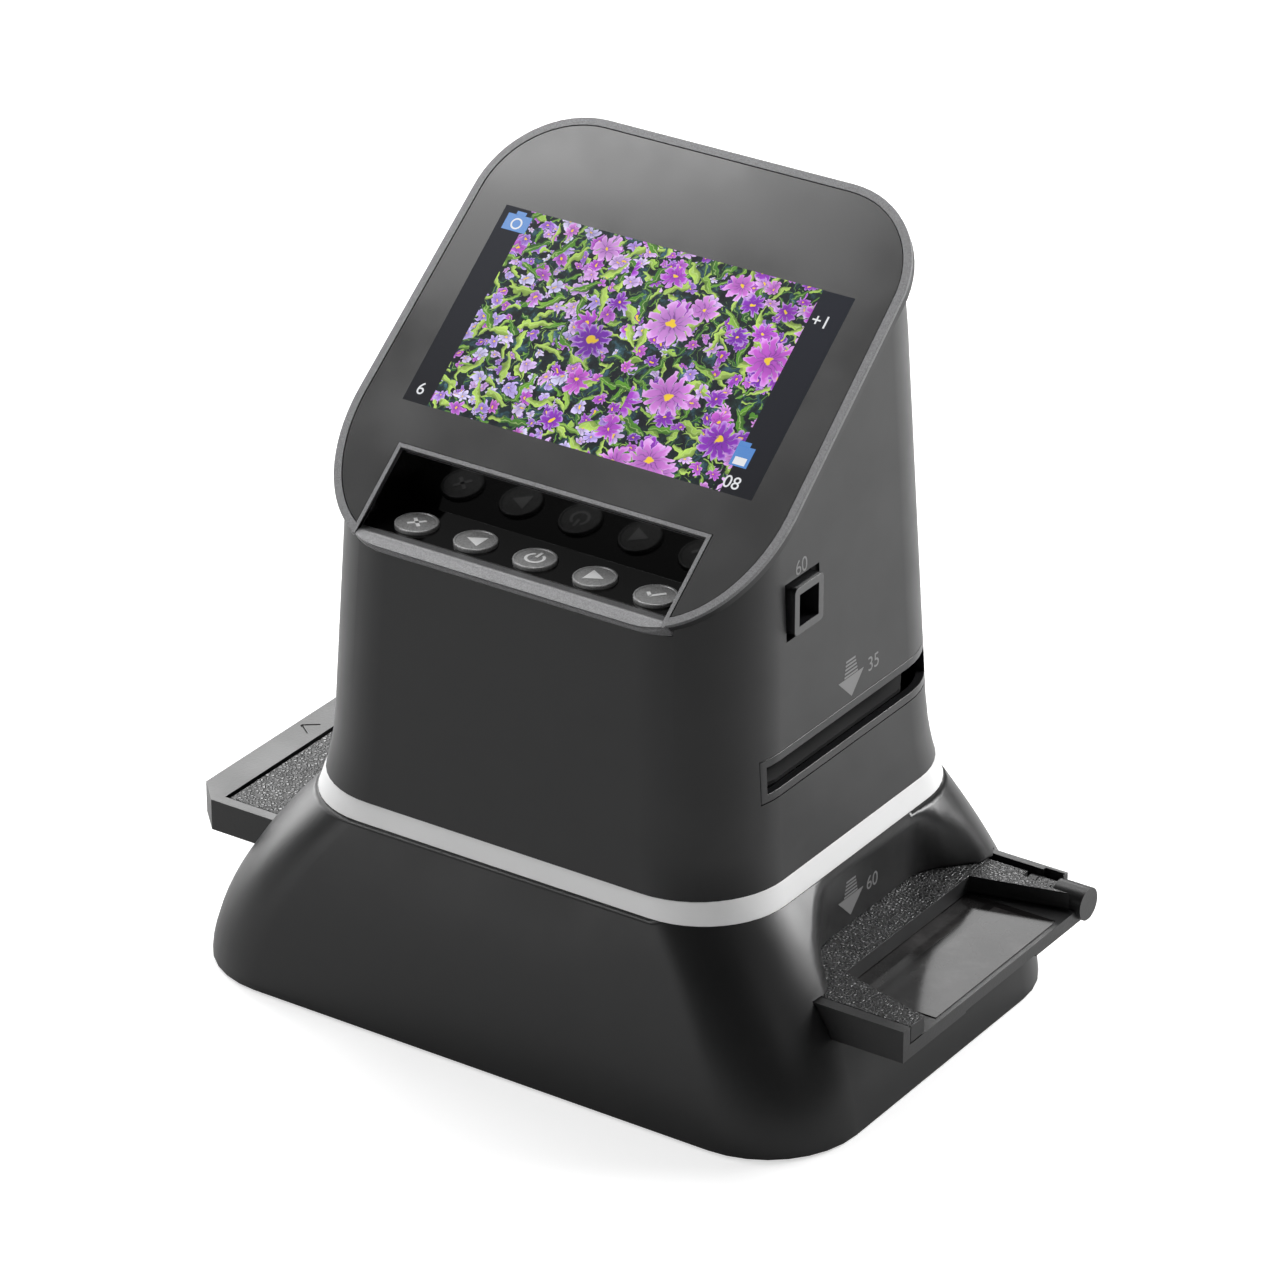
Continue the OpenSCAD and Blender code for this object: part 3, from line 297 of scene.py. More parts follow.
class Finish:
    """A material's nodes, written as short calls."""

    def __init__(self, name):
        self.material = bpy.data.materials.new(name)
        self.material.use_nodes = True
        self.tree = self.material.node_tree
        self.shader = self.tree.nodes["Principled BSDF"]

    def new(self, kind, **settings):
        node = self.tree.nodes.new("ShaderNode" + kind)
        for key, value in settings.items():
            setattr(node, key, value)
        return node

    def link(self, source, target):
        self.tree.links.new(source, target)

    def put(self, target, value):
        """Links a socket, or sets the value of one."""
        if isinstance(value, bpy.types.NodeSocket):
            self.link(value, target)
        elif value is not None:
            target.default_value = value

    def math(self, operation, a, b=None):
        node = self.new("Math", operation=operation)
        self.put(node.inputs[0], a)
        self.put(node.inputs[1], b)
        return node.outputs[0]

    def vector(self, operation, a, b=None, scale=None):
        node = self.new("VectorMath", operation=operation)
        self.put(node.inputs[0], a)
        self.put(node.inputs[1], b)
        if scale is not None:
            node.inputs["Scale"].default_value = scale
        return node.outputs["Vector"]

    def mix(self, factor, a, b):
        """Mixes two colours: the node's sockets 6, 7 and 2 are the ones for colours."""
        node = self.new("Mix", data_type="RGBA")
        self.put(node.inputs[0], factor)
        self.put(node.inputs[6], a)
        self.put(node.inputs[7], b)
        return node.outputs[2]

    def ramp(self, value, *stops):
        """Colours along a value, each stop with its place from 0 to 1."""
        node = self.new("ValToRGB")
        band = node.color_ramp
        while len(band.elements) < len(stops):
            band.elements.new(0.5)
        for element, (position, colour) in zip(band.elements, stops):
            element.position = position
            element.color = colour if len(colour) == 4 else (*colour, 1)
        self.put(node.inputs[0], value)
        return node.outputs[0]

    def parts(self, vector):
        node = self.new("SeparateXYZ")
        self.link(vector, node.inputs[0])
        return tuple(node.outputs)

    def channels(self, colour):
        node = self.new("SeparateColor")
        self.link(colour, node.inputs[0])
        return tuple(node.outputs)

    def step(self, value, low, high, start=0.0, end=1.0):
        """Goes from start to end while the value goes from low to high."""
        node = self.new("MapRange")
        node.clamp = True
        self.put(node.inputs["Value"], value)
        for key, number in zip(("From Min", "From Max", "To Min", "To Max"), (low, high, start, end)):
            node.inputs[key].default_value = number
        return node.outputs[0]

    def here(self):
        return self.new("TexCoord").outputs["Object"]

    def noise(self, scale, detail=2.0, rough=0.5, where=None, stretch=None):
        where = where or self.here()
        if stretch:
            mapping = self.new("Mapping")
            mapping.inputs["Scale"].default_value = stretch
            self.link(where, mapping.inputs["Vector"])
            where = mapping.outputs[0]
        node = self.new("TexNoise")
        self.link(where, node.inputs["Vector"])
        node.inputs["Scale"].default_value = scale
        node.inputs["Detail"].default_value = detail
        node.inputs["Roughness"].default_value = rough
        return node.outputs[0]

    def grains(self, scale, output="Distance", feature="F1", where=None):
        node = self.new("TexVoronoi", feature=feature)
        self.link(where or self.here(), node.inputs["Vector"])
        node.inputs["Scale"].default_value = scale
        return node.outputs[output]

    def scattered(self, where, cell, disorder=1.0):
        """Spots about a cell apart: the place measured from the nearest spot, and that spot's chances."""
        spots = self.new("TexVoronoi", voronoi_dimensions="2D")
        self.link(where, spots.inputs["Vector"])
        spots.inputs["Scale"].default_value = 1 / cell
        spots.inputs["Randomness"].default_value = disorder
        away = self.parts(self.vector("SUBTRACT", where, spots.outputs["Position"]))
        return away, self.channels(spots.outputs["Color"])

    def bump(self, height, depth, strength=1.0):
        node = self.new("Bump")
        node.inputs["Strength"].default_value = strength
        node.inputs["Distance"].default_value = depth * MM
        self.link(height, node.inputs["Height"])
        return node.outputs[0]

    def set(self, **values):
        """Fills the shader's sockets, such as Base_Color for Base Color."""
        for key, value in values.items():
            if key in ("Base_Color", "Emission_Color") and isinstance(value, tuple):
                value = (*value, 1)
            self.put(self.shader.inputs[key.replace("_", " ")], value)


def shade(colour, factor):
    """A colour made darker or lighter."""
    return (*(min(1, c * factor) for c in colour), 1)


# ---------------------------------------------------------------- plastics, metals and glass

def moulded(name, colour, rough=0.42, grain=0.012, scale=2600, mottle=0.12, specular=0.5):
    """Moulded plastic: a fine spark texture, faint flow mottling, slightly uneven gloss."""
    look = Finish(name)
    look.set(Base_Color=look.mix(look.noise(28, 3), shade(colour, 1 - mottle), shade(colour, 1 + mottle)))
    look.set(Roughness=look.step(look.noise(60, 3), 0.3, 0.7, rough - 0.03, rough + 0.04))
    look.set(Specular_IOR_Level=specular)
    look.set(Normal=look.bump(look.noise(scale, 2, 0.6), grain, 0.6))
    return look.material


def pebbled(name, colour, scale, depth, rough):
    """The leather grain of the film holder's cover, with painted shade in the seams round the pebbles and
    painted highlights that make some pebbles glint.
    """
    look = Finish(name)
    drift = look.vector("SCALE", look.new("TexNoise").outputs["Color"], scale=0.6 * MM)
    where = look.vector("ADD", look.here(), drift)
    tops = look.step(look.grains(scale, feature="DISTANCE_TO_EDGE", where=where), 0.02, 0.3)
    # Painted highlights: a random share of the pebbles is coloured up to nine times lighter than the
    # leather, so that they glint.
    glint_chance = look.channels(look.grains(scale, "Color", where=where))[0]
    painted_glints = look.ramp(glint_chance, (0.0, shade(colour, 1)), (0.6, shade(colour, 2.2)), (1.0, shade(colour, 9)))
    # Painted shade: the seams between the pebbles are coloured at 0.3 of the leather's colour.
    look.set(Base_Color=look.mix(tops, shade(colour, 0.3), painted_glints))
    look.set(Roughness=look.step(tops, 0.0, 1.0, rough + 0.3, rough - 0.06))
    look.set(Specular_IOR_Level=0.95)
    height = look.math("ADD", tops, look.math("MULTIPLY", look.noise(3200, 2, 0.6), 0.35))
    look.set(Normal=look.bump(height, depth, 0.9))
    return look.material


def flaked(name, colour, rough=0.36):
    """Grey plastic with a fine metal flake."""
    look = Finish(name)
    flake = look.channels(look.grains(5200, "Color"))
    look.set(Base_Color=look.mix(flake[0], shade(colour, 0.72), shade(colour, 1.35)))
    look.set(Metallic=0.35)
    look.set(Roughness=look.step(flake[1], 0, 1, rough - 0.06, rough + 0.1))
    look.set(Normal=look.bump(look.noise(3600, 1), 0.008, 0.5))
    return look.material


def polished(name, colour, rough):
    """Gloss black plastic or glass with the slightest waviness and dust-fine haze."""
    look = Finish(name)
    look.set(Base_Color=look.mix(look.noise(9, 2), shade(colour, 0.8), shade(colour, 1.25)))
    look.set(Roughness=look.step(look.noise(35, 4), 0.35, 0.75, rough * 0.7, rough * 1.4))
    look.set(Normal=look.bump(look.noise(14, 1), 0.02, 0.15))
    return look.material


def frosted(name, colour, glow=0.0, rough=0.5):
    """Milky plastic that lets light spread inside it, and can be lit from behind."""
    look = Finish(name)
    look.set(Base_Color=look.mix(look.noise(40, 3), shade(colour, 0.95), shade(colour, 1.03)))
    look.set(Roughness=look.step(look.noise(300, 2), 0.3, 0.7, rough - 0.06, rough + 0.06))
    look.set(Subsurface_Weight=0.35, Subsurface_Radius=(0.002, 0.002, 0.002), Subsurface_Scale=1.0)
    if glow:
        look.set(Emission_Color=(1.0, 1.0, 1.0), Emission_Strength=glow)
    look.set(Normal=look.bump(look.noise(1800, 2), 0.01, 0.4))
    return look.material


def brushed(name, colour, rough=0.3):
    """Machined or drawn metal with fine parallel lines."""
    look = Finish(name)
    lines = look.noise(900, 2, 0.6, stretch=(1, 1, 40))
    look.set(Base_Color=look.mix(lines, shade(colour, 0.85), shade(colour, 1.1)))
    look.set(Metallic=1.0)
    look.set(Roughness=look.step(lines, 0.2, 0.8, rough - 0.08, rough + 0.12))
    look.set(Normal=look.bump(lines, 0.006, 0.4))
    return look.material


def circuit(name):
    """Green board with darker fields between its tracks and pale solder dots."""
    look = Finish(name)
    tracks = look.new("TexBrick")
    look.link(look.here(), tracks.inputs["Vector"])
    for key, value in (("Scale", 220.0), ("Mortar Size", 0.06), ("Brick Width", 0.9), ("Row Height", 0.22),
                       ("Color1", (0.012, 0.13, 0.05, 1)), ("Color2", (0.02, 0.19, 0.07, 1)),
                       ("Mortar", (0.03, 0.26, 0.1, 1))):
        tracks.inputs[key].default_value = value
    dots = look.step(look.grains(420), 0.16, 0.13)
    look.set(Base_Color=look.mix(dots, tracks.outputs[0], (0.55, 0.55, 0.5, 1)))
    look.set(Roughness=look.step(dots, 0, 1, 0.42, 0.25))
    look.set(Normal=look.bump(tracks.outputs[1], 0.03, 0.4))
    return look.material


def clear_glass(name, colour):
    """Faintly tinted lens glass."""
    look = Finish(name)
    look.set(Base_Color=look.mix(look.noise(60), shade(colour, 1), shade(colour, 0.97)))
    look.set(Roughness=0.02, IOR=1.6, Transmission_Weight=0.9)
    return look.material


FILM_START = -200
FILM_MIDDLE_Y = 7.4
FRAME_PITCH = 49
FRAME_HALF = 28
FRAME_FADE = 0.3
UNEXPOSED = (0.008, 0.0075, 0.0075, 1)
EXPOSED = ((0.3, (0.006, 0.006, 0.006)), (0.52, (0.02, 0.019, 0.019)), (0.72, (0.055, 0.052, 0.052)))


def film_base(name):
    """Dark exposed roll film: glossy, with square pictures a little lighter than the strip between them."""
    look = Finish(name)
    x, y, _ = look.parts(look.here())
    along = look.math("FRACT", look.math("DIVIDE", look.math("ADD", x, -FILM_START * MM), FRAME_PITCH * MM))
    across = look.math("ABSOLUTE", look.math("SUBTRACT", y, FILM_MIDDLE_Y * MM))
    inside = look.math("MULTIPLY", look.step(across, (FRAME_HALF + FRAME_FADE) * MM, FRAME_HALF * MM),
                       look.step(along, 0.05, 0.056))
    look.set(Base_Color=look.mix(inside, UNEXPOSED, look.ramp(look.noise(55, 5, 0.6), *EXPOSED)))
    look.set(Roughness=look.step(look.noise(30, 3), 0.3, 0.7, 0.09, 0.14))
    look.set(Specular_IOR_Level=0.16)
    look.set(Normal=look.bump(look.noise(22, 1), 0.12, 0.25))
    return look.material


# ---------------------------------------------------------------- the lit picture

PALE = ((0.0, (0.30, 0.10, 0.60)), (0.3, (0.5, 0.42, 0.85)), (0.6, (0.72, 0.74, 0.92)),
        (0.85, (0.5, 0.12, 0.6)))
VIOLET = ((0.0, (0.16, 0.02, 0.42)), (0.3, (0.42, 0.05, 0.62)), (0.6, (0.6, 0.12, 0.6)),
          (0.9, (0.72, 0.5, 0.85)))
LEAF = ((0.0, (0.004, 0.03, 0.012)), (0.4, (0.02, 0.12, 0.015)), (0.75, (0.12, 0.34, 0.02)),
        (1.0, (0.46, 0.68, 0.12)))
SOIL = ((0.38, (0.0, 0.001, 0.003)), (0.52, (0.004, 0.014, 0.012)), (0.66, (0.03, 0.09, 0.12)),
        (0.8, (0.2, 0.36, 0.42)))
LEAF_SHADE = (0.004, 0.012, 0.006, 1)
LEAF_VEIN = (0.5, 0.66, 0.25, 1)
PETAL_BASE = (0.10, 0.01, 0.20, 1)
PETAL_GAP = (0.05, 0.008, 0.12, 1)
PETAL_RIM = (0.8, 0.6, 0.95, 1)
FLOWER_HEART = (0.75, 0.5, 0.03, 1)
DISTANCE = (0.0, 0.002, 0.012, 1)
SIDE_BAR_LOW = (0.001, 0.0015, 0.004, 1)
SIDE_BAR_HIGH = (0.003, 0.0045, 0.01, 1)


def leaves(look, where, ground, cell, length, width, seed, lightness=0.0):
    """A layer of scattered leaves over the ground, with their sizes in millimetres."""
    away, chance = look.scattered(look.vector("ADD", where, (seed, 1.7 * seed, 0)), cell)
    turn = look.math("MULTIPLY", chance[0], 2 * math.pi)
    cosine = look.math("COSINE", turn)
    sine = look.math("SINE", turn)
    along = look.math("ADD", look.math("MULTIPLY", away[0], cosine), look.math("MULTIPLY", away[1], sine))
    across = look.math("SUBTRACT", look.math("MULTIPLY", away[1], cosine),
                       look.math("MULTIPLY", away[0], sine))
    taper = look.math("POWER", look.math("DIVIDE", look.math("ABSOLUTE", along), length), 1.5)
    breadth = look.math("DIVIDE", look.math("ABSOLUTE", across), width)
    blade = look.step(look.math("ADD", taper, breadth), 1.06, 0.94)
    green = look.ramp(look.math("ADD", chance[1], lightness), *LEAF)
    shaded = look.mix(look.step(across, -width, width, 0.0, 0.75), green, LEAF_SHADE)
    vein = look.step(look.math("ABSOLUTE", across), width * 0.16, width * 0.04)
    shaded = look.mix(look.math("MULTIPLY", vein, 0.5), shaded, LEAF_VEIN)
    return look.mix(blade, ground, shaded)


def blossoms(look, where, ground, side, often, cell, radius, petals, seed, palette, heart):
    """A layer of round flowers on one side, each with its own turn, tilt and colour."""
    away, chance = look.scattered(look.vector("ADD", where, (seed, 0.6 * seed, 0)), cell, 0.8)
    tall = look.math("MULTIPLY", away[1], look.step(chance[2], 0, 1, 1.0, 1.45))
    reach = look.math("SQRT", look.math("ADD", look.math("MULTIPLY", away[0], away[0]),
                                        look.math("MULTIPLY", tall, tall)))
    angle = look.math("ADD", look.math("ARCTAN2", tall, away[0]), look.math("MULTIPLY", chance[0], 6.3))
    wave = look.math("ABSOLUTE", look.math("COSINE", look.math("MULTIPLY", angle, petals / 2)))
    scallop = look.math("ADD", look.math("MULTIPLY", look.math("POWER", wave, 0.7), 0.5), 0.5)
    spread = look.math("MULTIPLY", radius, look.step(chance[1], 0, 1, 0.75, 1.0))
    edge = look.math("MULTIPLY", scallop, spread)
    inside = look.math("SUBTRACT", edge, reach)
    fade = look.math("DIVIDE", reach, radius)
    colour = look.ramp(chance[1], *palette)
    colour = look.mix(look.step(fade, 0.15, 0.95, 0.55, 0.0), colour, PETAL_BASE)
    gap = look.math("MULTIPLY", look.step(wave, 0.55, 0.0, 0.0, 0.8), look.step(fade, 0.1, 0.9, 1.0, 0.5))
    colour = look.mix(gap, colour, PETAL_GAP)
    colour = look.mix(look.step(inside, radius * 0.2, 0.0, 0.0, 0.45), colour, PETAL_RIM)
    colour = look.mix(look.step(reach, heart, heart * 0.75), colour, FLOWER_HEART)
    present = look.math("LESS_THAN", chance[2], look.math("MULTIPLY", side, often))
    return look.mix(look.math("MULTIPLY", look.step(inside, -0.08, 0.08), present), ground, colour)


def garden_picture(name):
    """A made-up bed of daisies between dark side bars, drawn in millimetres on the plate's own UV map."""
    look = Finish(name)
    straight = look.vector("MULTIPLY", look.new("TexCoord").outputs["UV"], (SCREEN_W, SCREEN_H, 0))
    across, up, _ = look.parts(straight)
    ripple = look.new("TexNoise")
    look.link(straight, ripple.inputs["Vector"])
    ripple.inputs["Scale"].default_value = 0.3
    drift = look.vector("SUBTRACT", ripple.outputs["Color"], (0.5, 0.5, 0.5))
    where = look.vector("ADD", straight, look.vector("SCALE", drift, scale=4.5))
    right = look.step(across, 12, 95)
    left = look.math("SUBTRACT", 1, right)

    soil = look.ramp(look.noise(0.22, 5, 0.65, where=where), *SOIL)
    sprigs = look.math("GREATER_THAN", look.noise(0.11, 2, where=where), 0.44)
    view = leaves(look, where, soil, cell=2.6, length=1.9, width=0.3, seed=3)
    view = look.mix(look.math("MULTIPLY", sprigs, 0.9), soil, view)
    view = blossoms(look, where, view, left, 0.75,
                    cell=3.4, radius=1.4, petals=5, seed=61, palette=PALE, heart=0.22)
    view = leaves(look, where, view, cell=4.6, length=3.6, width=0.62, seed=17, lightness=0.35)
    view = blossoms(look, where, view, left, 0.8,
                    cell=6.2, radius=2.7, petals=6, seed=5, palette=PALE, heart=0.4)
    view = blossoms(look, where, view, right, 0.7,
                    cell=5.4, radius=2.4, petals=8, seed=77, palette=VIOLET, heart=0.42)
    view = leaves(look, where, view, cell=8.5, length=5.4, width=1.0, seed=29, lightness=0.5)
    view = blossoms(look, where, view, right, 0.85,
                    cell=9.4, radius=4.6, petals=9, seed=23, palette=VIOLET, heart=0.62)
    view = blossoms(look, where, view, right, 0.8,
                    cell=19.0, radius=8.2, petals=12, seed=44, palette=VIOLET, heart=1.3)
    haze = look.step(look.noise(0.05, 2, where=where), 0.35, 0.75, 0.0, 0.5)
    view = look.mix(haze, view, look.mix(0.7, view, DISTANCE))

    shown = look.math("MULTIPLY", look.math("GREATER_THAN", across, PICTURE_LEFT + SCREEN_W / 2),
                      look.math("LESS_THAN", across, PICTURE_RIGHT + SCREEN_W / 2))
    bars = look.mix(look.step(up, 0, SCREEN_H), SIDE_BAR_LOW, SIDE_BAR_HIGH)
    look.set(Base_Color=(0.002, 0.002, 0.003), Roughness=0.3, Specular_IOR_Level=0.12)
    look.set(Emission_Color=look.mix(shown, bars, view), Emission_Strength=1.35)
    return look.material


def lit_sign(name, colour):
    """A small sign that the display draws over its picture."""
    look = Finish(name)
    look.set(Base_Color=(0.01, 0.01, 0.01), Roughness=0.25, Emission_Strength=0.9)
    look.set(Emission_Color=look.mix(look.noise(300), shade(colour, 0.9), shade(colour, 1)))
    return look.material


# ---------------------------------------------------------------- the scanner's finishes

SHELL_BLACK = moulded("shell_black", (0.009, 0.009, 0.0095), rough=0.37)
INNER_BLACK = moulded("inner_black", (0.014, 0.014, 0.0145), rough=0.55)
SLOT_BLACK = moulded("slot_black", (0.013, 0.013, 0.014), rough=0.3)
SELECTOR_BLACK = moulded("selector_black", (0.011, 0.011, 0.012), rough=0.2, specular=0.9)
HOLDER_BLACK = moulded("holder_black", (0.011, 0.011, 0.0115), rough=0.36, grain=0.07, scale=1200)
# The cover's leather grain, with painted highlights on some pebbles and painted shade in the seams.
HOLDER_GRAIN_AND_PAINTED_LIGHT = pebbled("holder_grain", (0.012, 0.012, 0.0125), scale=900, depth=0.22, rough=0.24)
RUBBER = moulded("rubber", (0.012, 0.012, 0.012), rough=0.8, grain=0.03, scale=900)
BEZEL_GREY = flaked("bezel_grey", (0.16, 0.16, 0.164))
SCREEN_GLASS = polished("screen_glass", (0.003, 0.003, 0.0034), rough=0.16)
DECK_GLOSS = polished("deck_gloss", (0.003, 0.003, 0.003), rough=0.07)
BUTTON_GREY = flaked("button_grey", (0.36, 0.36, 0.36), rough=0.32)
BUTTON_MARK = moulded("button_mark", (0.9, 0.9, 0.9), rough=0.4, mottle=0.03)
RING_WHITE = frosted("ring_white", (0.8, 0.8, 0.8), glow=0.08)
WELL_WHITE = frosted("well_white", (0.8, 0.8, 0.8))
DIFFUSER_WHITE = frosted("diffuser_white", (0.88, 0.88, 0.86))
LED_WHITE = frosted("led_white", (0.82, 0.82, 0.8), rough=0.4)
STEEL = brushed("steel", (0.55, 0.55, 0.56))
BRASS = brushed("brass", (0.6, 0.45, 0.2))
BOARD_GREEN = circuit("circuit_green")
BARREL_BLACK = brushed("barrel_black", (0.03, 0.03, 0.03), rough=0.4)
LENS_GLASS = clear_glass("lens_glass", (0.8, 0.86, 0.9))
FILM = film_base("film")
DISPLAY = polished("display", (0.012, 0.012, 0.02), rough=0.15)
PRINT_GREY = moulded("print_grey", (0.22, 0.22, 0.22), rough=0.5, mottle=0.03)
PICTURE = garden_picture("screen_picture")
SIGN_BLUE = lit_sign("sign_blue", (0.02, 0.2, 0.6))
SIGN_WHITE = lit_sign("sign_white", (0.8, 0.82, 0.85))

CAD_FINISHES = {
    "bottom_cover": INNER_BLACK, "rubber_feet": RUBBER, "bottom_screw_set": STEEL,
    "tower_screw_set": STEEL, "ring_led_strips": BOARD_GREEN, "display_module": DISPLAY,
    "standoffs": BRASS, "main_board": BOARD_GREEN, "button_board": BOARD_GREEN,
    "selector_guides": INNER_BLACK, "lens_carriage": INNER_BLACK, "lens_barrel": BARREL_BLACK,
    "lens_glass": LENS_GLASS, "guide_rods": STEEL, "camera_frame": INNER_BLACK,
    "sensor_board": BOARD_GREEN, "channel_135": INNER_BLACK, "io_board": BOARD_GREEN,
    "card_socket": STEEL, "power_inlet": STEEL, "light_well": WELL_WHITE,
    "channel_120": INNER_BLACK, "backlight_box": WELL_WHITE, "diffuser": DIFFUSER_WHITE,
    "led_board": LED_WHITE, "hinge_pins": STEEL, "film_strip": FILM,
}
for node, material in CAD_FINISHES.items():
    CAD[node].data.materials.clear()
    CAD[node].data.materials.append(material)


# ---------------------------------------------------------------- shells and trim from the CAD solids

# The facets of a curved wall meet at small angles, so only those below this angle in degrees are merged.
CURVED = 0.05
SHELL = {"smooth_angle": 40, "merge_angle": CURVED}


def skins():
    dress(skin_of("base_shell", **SHELL), SHELL_BLACK, "housing")
    dress(skin_of("tower_shell", **SHELL), SHELL_BLACK, "housing")
    dress(skin_of("light_ring", edge=0.35, merge_angle=CURVED), RING_WHITE, "housing")
    for node in ("slot_frame_right", "slot_frame_left"):
        dress(skin_of(node, edge=0.25, merge_angle=CURVED), SLOT_BLACK, "housing")
    dress(skin_of("bezel", edge=0.18), BEZEL_GREY, "housing")
    dress(skin_of("front_glass", edge=0.2), SCREEN_GLASS, "housing")
    dress(skin_of("button_deck", edge=0.2), DECK_GLOSS, "housing")
    dress(skin_of("selector", edge=0.9, segments=4), SELECTOR_BLACK, "selector")
    dress(skin_of("holder_tray", edge=0.35), HOLDER_BLACK, "holder")
    cover = dress(skin_of("holder_cover", edge=0.35), HOLDER_GRAIN_AND_PAINTED_LIGHT, "holder")
    smooth_sides(cover)


def smooth_sides(cover):
    """The cover is grained on top only: its edges and the walls of its windows are smooth."""
    cover.data.materials.append(INNER_BLACK)
    for face in cover.data.polygons:
        if face.normal.z < 0.5:
            face.material_index = 1


# ---------------------------------------------------------------- the display

def screen_plate():
    """The lit picture, a thin plate on the glass."""
    nothing_selected()
    bpy.ops.mesh.primitive_plane_add(size=1, calc_uvs=True)
    piece = named("screen_picture")
    piece.scale = (SCREEN_W * MM, SCREEN_H * MM, 1)
    settle()
    solid = piece.modifiers.new("thickness", "SOLIDIFY")
    solid.thickness = 0.04 * MM
    solid.offset = 1
    bpy.ops.object.modifier_apply(modifier=solid.name)
    place(piece, on_screen(0, 0, GLASS_TOP - 0.01))
    dress(piece, PICTURE, "housing")


def screen_signs():
    """Plain signs over the picture: a camera, a memory card and figures."""
    camera = [bar("camera", 7.6, 5.0), bar("top", 3.0, 1.2, at=(0, 3.0))]
    eye = hoop("eye", 1.5, 0.5)
    place(joined("sign_camera", camera), on_screen(-49.6, 26.6, GLASS_TOP + SIGN_LIFT))
    place(eye, on_screen(-49.6, 26.4, GLASS_TOP + UPPER_SIGN_LIFT))
    eye.name = "sign_camera_eye"
    card = [bar("card", 5.4, 6.0), bar("step", 3.6, 1.4, at=(-0.9, 3.6))]
    place(joined("sign_card", card), on_screen(46.8, -20.2, GLASS_TOP + SIGN_LIFT))
    label = bar("sign_card_label", 3.6, 2.2)
    place(label, on_screen(46.8, -21.6, GLASS_TOP + UPPER_SIGN_LIFT))
    for name in ("sign_camera", "sign_card"):
        dress(bpy.data.objects[name], SIGN_BLUE, "housing")
    white = [eye, label]
    for name, text, u, v in (("sign_step", "+1", 46.6, 20.6), ("sign_format", "6", -52.6, -28.6),
                             ("sign_count", "08", 45.2, -29.6)):
        piece = numerals(name, text, 3.6)
        place(piece, on_screen(u, v, GLASS_TOP + SIGN_LIFT))
        white.append(piece)
    for piece in white:
        dress(piece, SIGN_WHITE, "housing")


# ---------------------------------------------------------------- the push buttons

CAP_HEIGHT = 3.7
RIM_WIDTH = 0.5
RIM_SLOPE = 0.2
FACE_DEPTH = 0.16
FLANGE_R = BUTTON_R + 0.9
FLANGE_HEIGHT = 1.2
STEM_R = 1.6
STEM_HEIGHT = 1.4


def push_button():
    """One button with its raised rim, flange and stem, round the origin with its rim at zero."""
    piece = disc("button", BUTTON_R, -CAP_HEIGHT, 0, sides=96)
    edit(piece)
    pick(piece, lambda _, normal: normal.z > 0.9)
    bpy.ops.mesh.inset(thickness=RIM_WIDTH * MM)
    bpy.ops.mesh.inset(thickness=RIM_SLOPE * MM, depth=-FACE_DEPTH * MM)
    pick(piece, lambda _, normal: normal.z < -0.9)
    bpy.ops.mesh.extrude_region_move()
    wide = FLANGE_R / BUTTON_R
    bpy.ops.transform.resize(value=(wide, wide, 1))
    bpy.ops.mesh.extrude_region_move(TRANSFORM_OT_translate={"value": (0, 0, -FLANGE_HEIGHT * MM)})
    bpy.ops.mesh.inset(thickness=(FLANGE_R - STEM_R) * MM)
    bpy.ops.mesh.extrude_region_move(TRANSFORM_OT_translate={"value": (0, 0, -STEM_HEIGHT * MM)})
    done()
    round_edges(piece, 0.12, angle=60)
    smooth(piece, 30)
    return piece


def button_marks():
    """The five plain signs: clear, left, power, right and accept."""
    cross = joined("mark_clear", [bar("a", 5.2, 1.0, 45), bar("b", 5.2, 1.0, -45)])
    left = wedge("mark_left", 3.3, 180, at=(0.6, 0))
    power = joined("mark_power", [hoop("arc", 2.45, 0.85, gap=28),
                                  bar("stroke", 2.9, 0.85, 90, at=(0, 2.0))])
    right = wedge("mark_right", 3.3, 0, at=(-0.6, 0))
    tick = joined("mark_ok", [bar("short", 2.4, 1.0, -45, at=(-1.75, -0.55)),
                              bar("long", 4.6, 1.0, 50, at=(0.45, 0.25))])
    return {"clear": cross, "left": left, "power": power, "right": right, "ok": tick}


def buttons():
    """Five buttons in a row, modelled once, each with its own sign."""
    model = push_button()
    marks = button_marks()
    for i, use in enumerate(marks):
        spot = shift((i - 2) * BUTTON_PITCH, BUTTON_Y, BUTTON_TOP)
        body = "button_" + use
        last = i == len(marks) - 1
        piece = model if last else copy_of(model)
        piece.name = body + "_cap"
        piece.data.name = piece.name
        place(piece, spot)
        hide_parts(body)
        dress(piece, BUTTON_GREY, body)
        place(marks[use], spot @ shift(0, 0, -MARK_DEPTH))
        dress(marks[use], BUTTON_MARK, body)


# ---------------------------------------------------------------- printed marks

def feed_arrow(name):
    """A printed arrow that points down, with a striped tail; its tip is at the origin."""
    head = triangle("head", 6)
    head.scale = (1.2, 0.66, 1)
    place(head, shift(0, 3.5, 0) @ turned(180))
    parts = [head]
    for k in range(5):
        parts.append(bar("stripe", 6.6 - 0.5 * k, 0.55, at=(0, 6.0 + 1.05 * k)))
    return joined(name, parts)


def printed_marks():
    """Arrows and plain figures beside the slot, the holder's pocket and the selector."""
    for name, wall, arrow_spot, figures, spot in (
            ("slot", on_tower, (6.7, 99.9), "35", (15.2, 102.9)),
            ("pocket", on_pocket, (-1.4, 39.2), "60", (6.6, 42.3)),
            ("selector", on_tower, None, "60", (-18.4, 144.6))):
        pieces = [(numerals("figures_" + name, figures, 4.1), wall(*spot))]
        if arrow_spot:
            pieces.append((feed_arrow("arrow_" + name), wall(*arrow_spot)))
        for piece, matrix in pieces:
            place(piece, matrix)
            dress(piece, PRINT_GREY, "housing")


skins()
screen_plate()
screen_signs()
buttons()
printed_marks()


# ---------------------------------------------------------------- studio

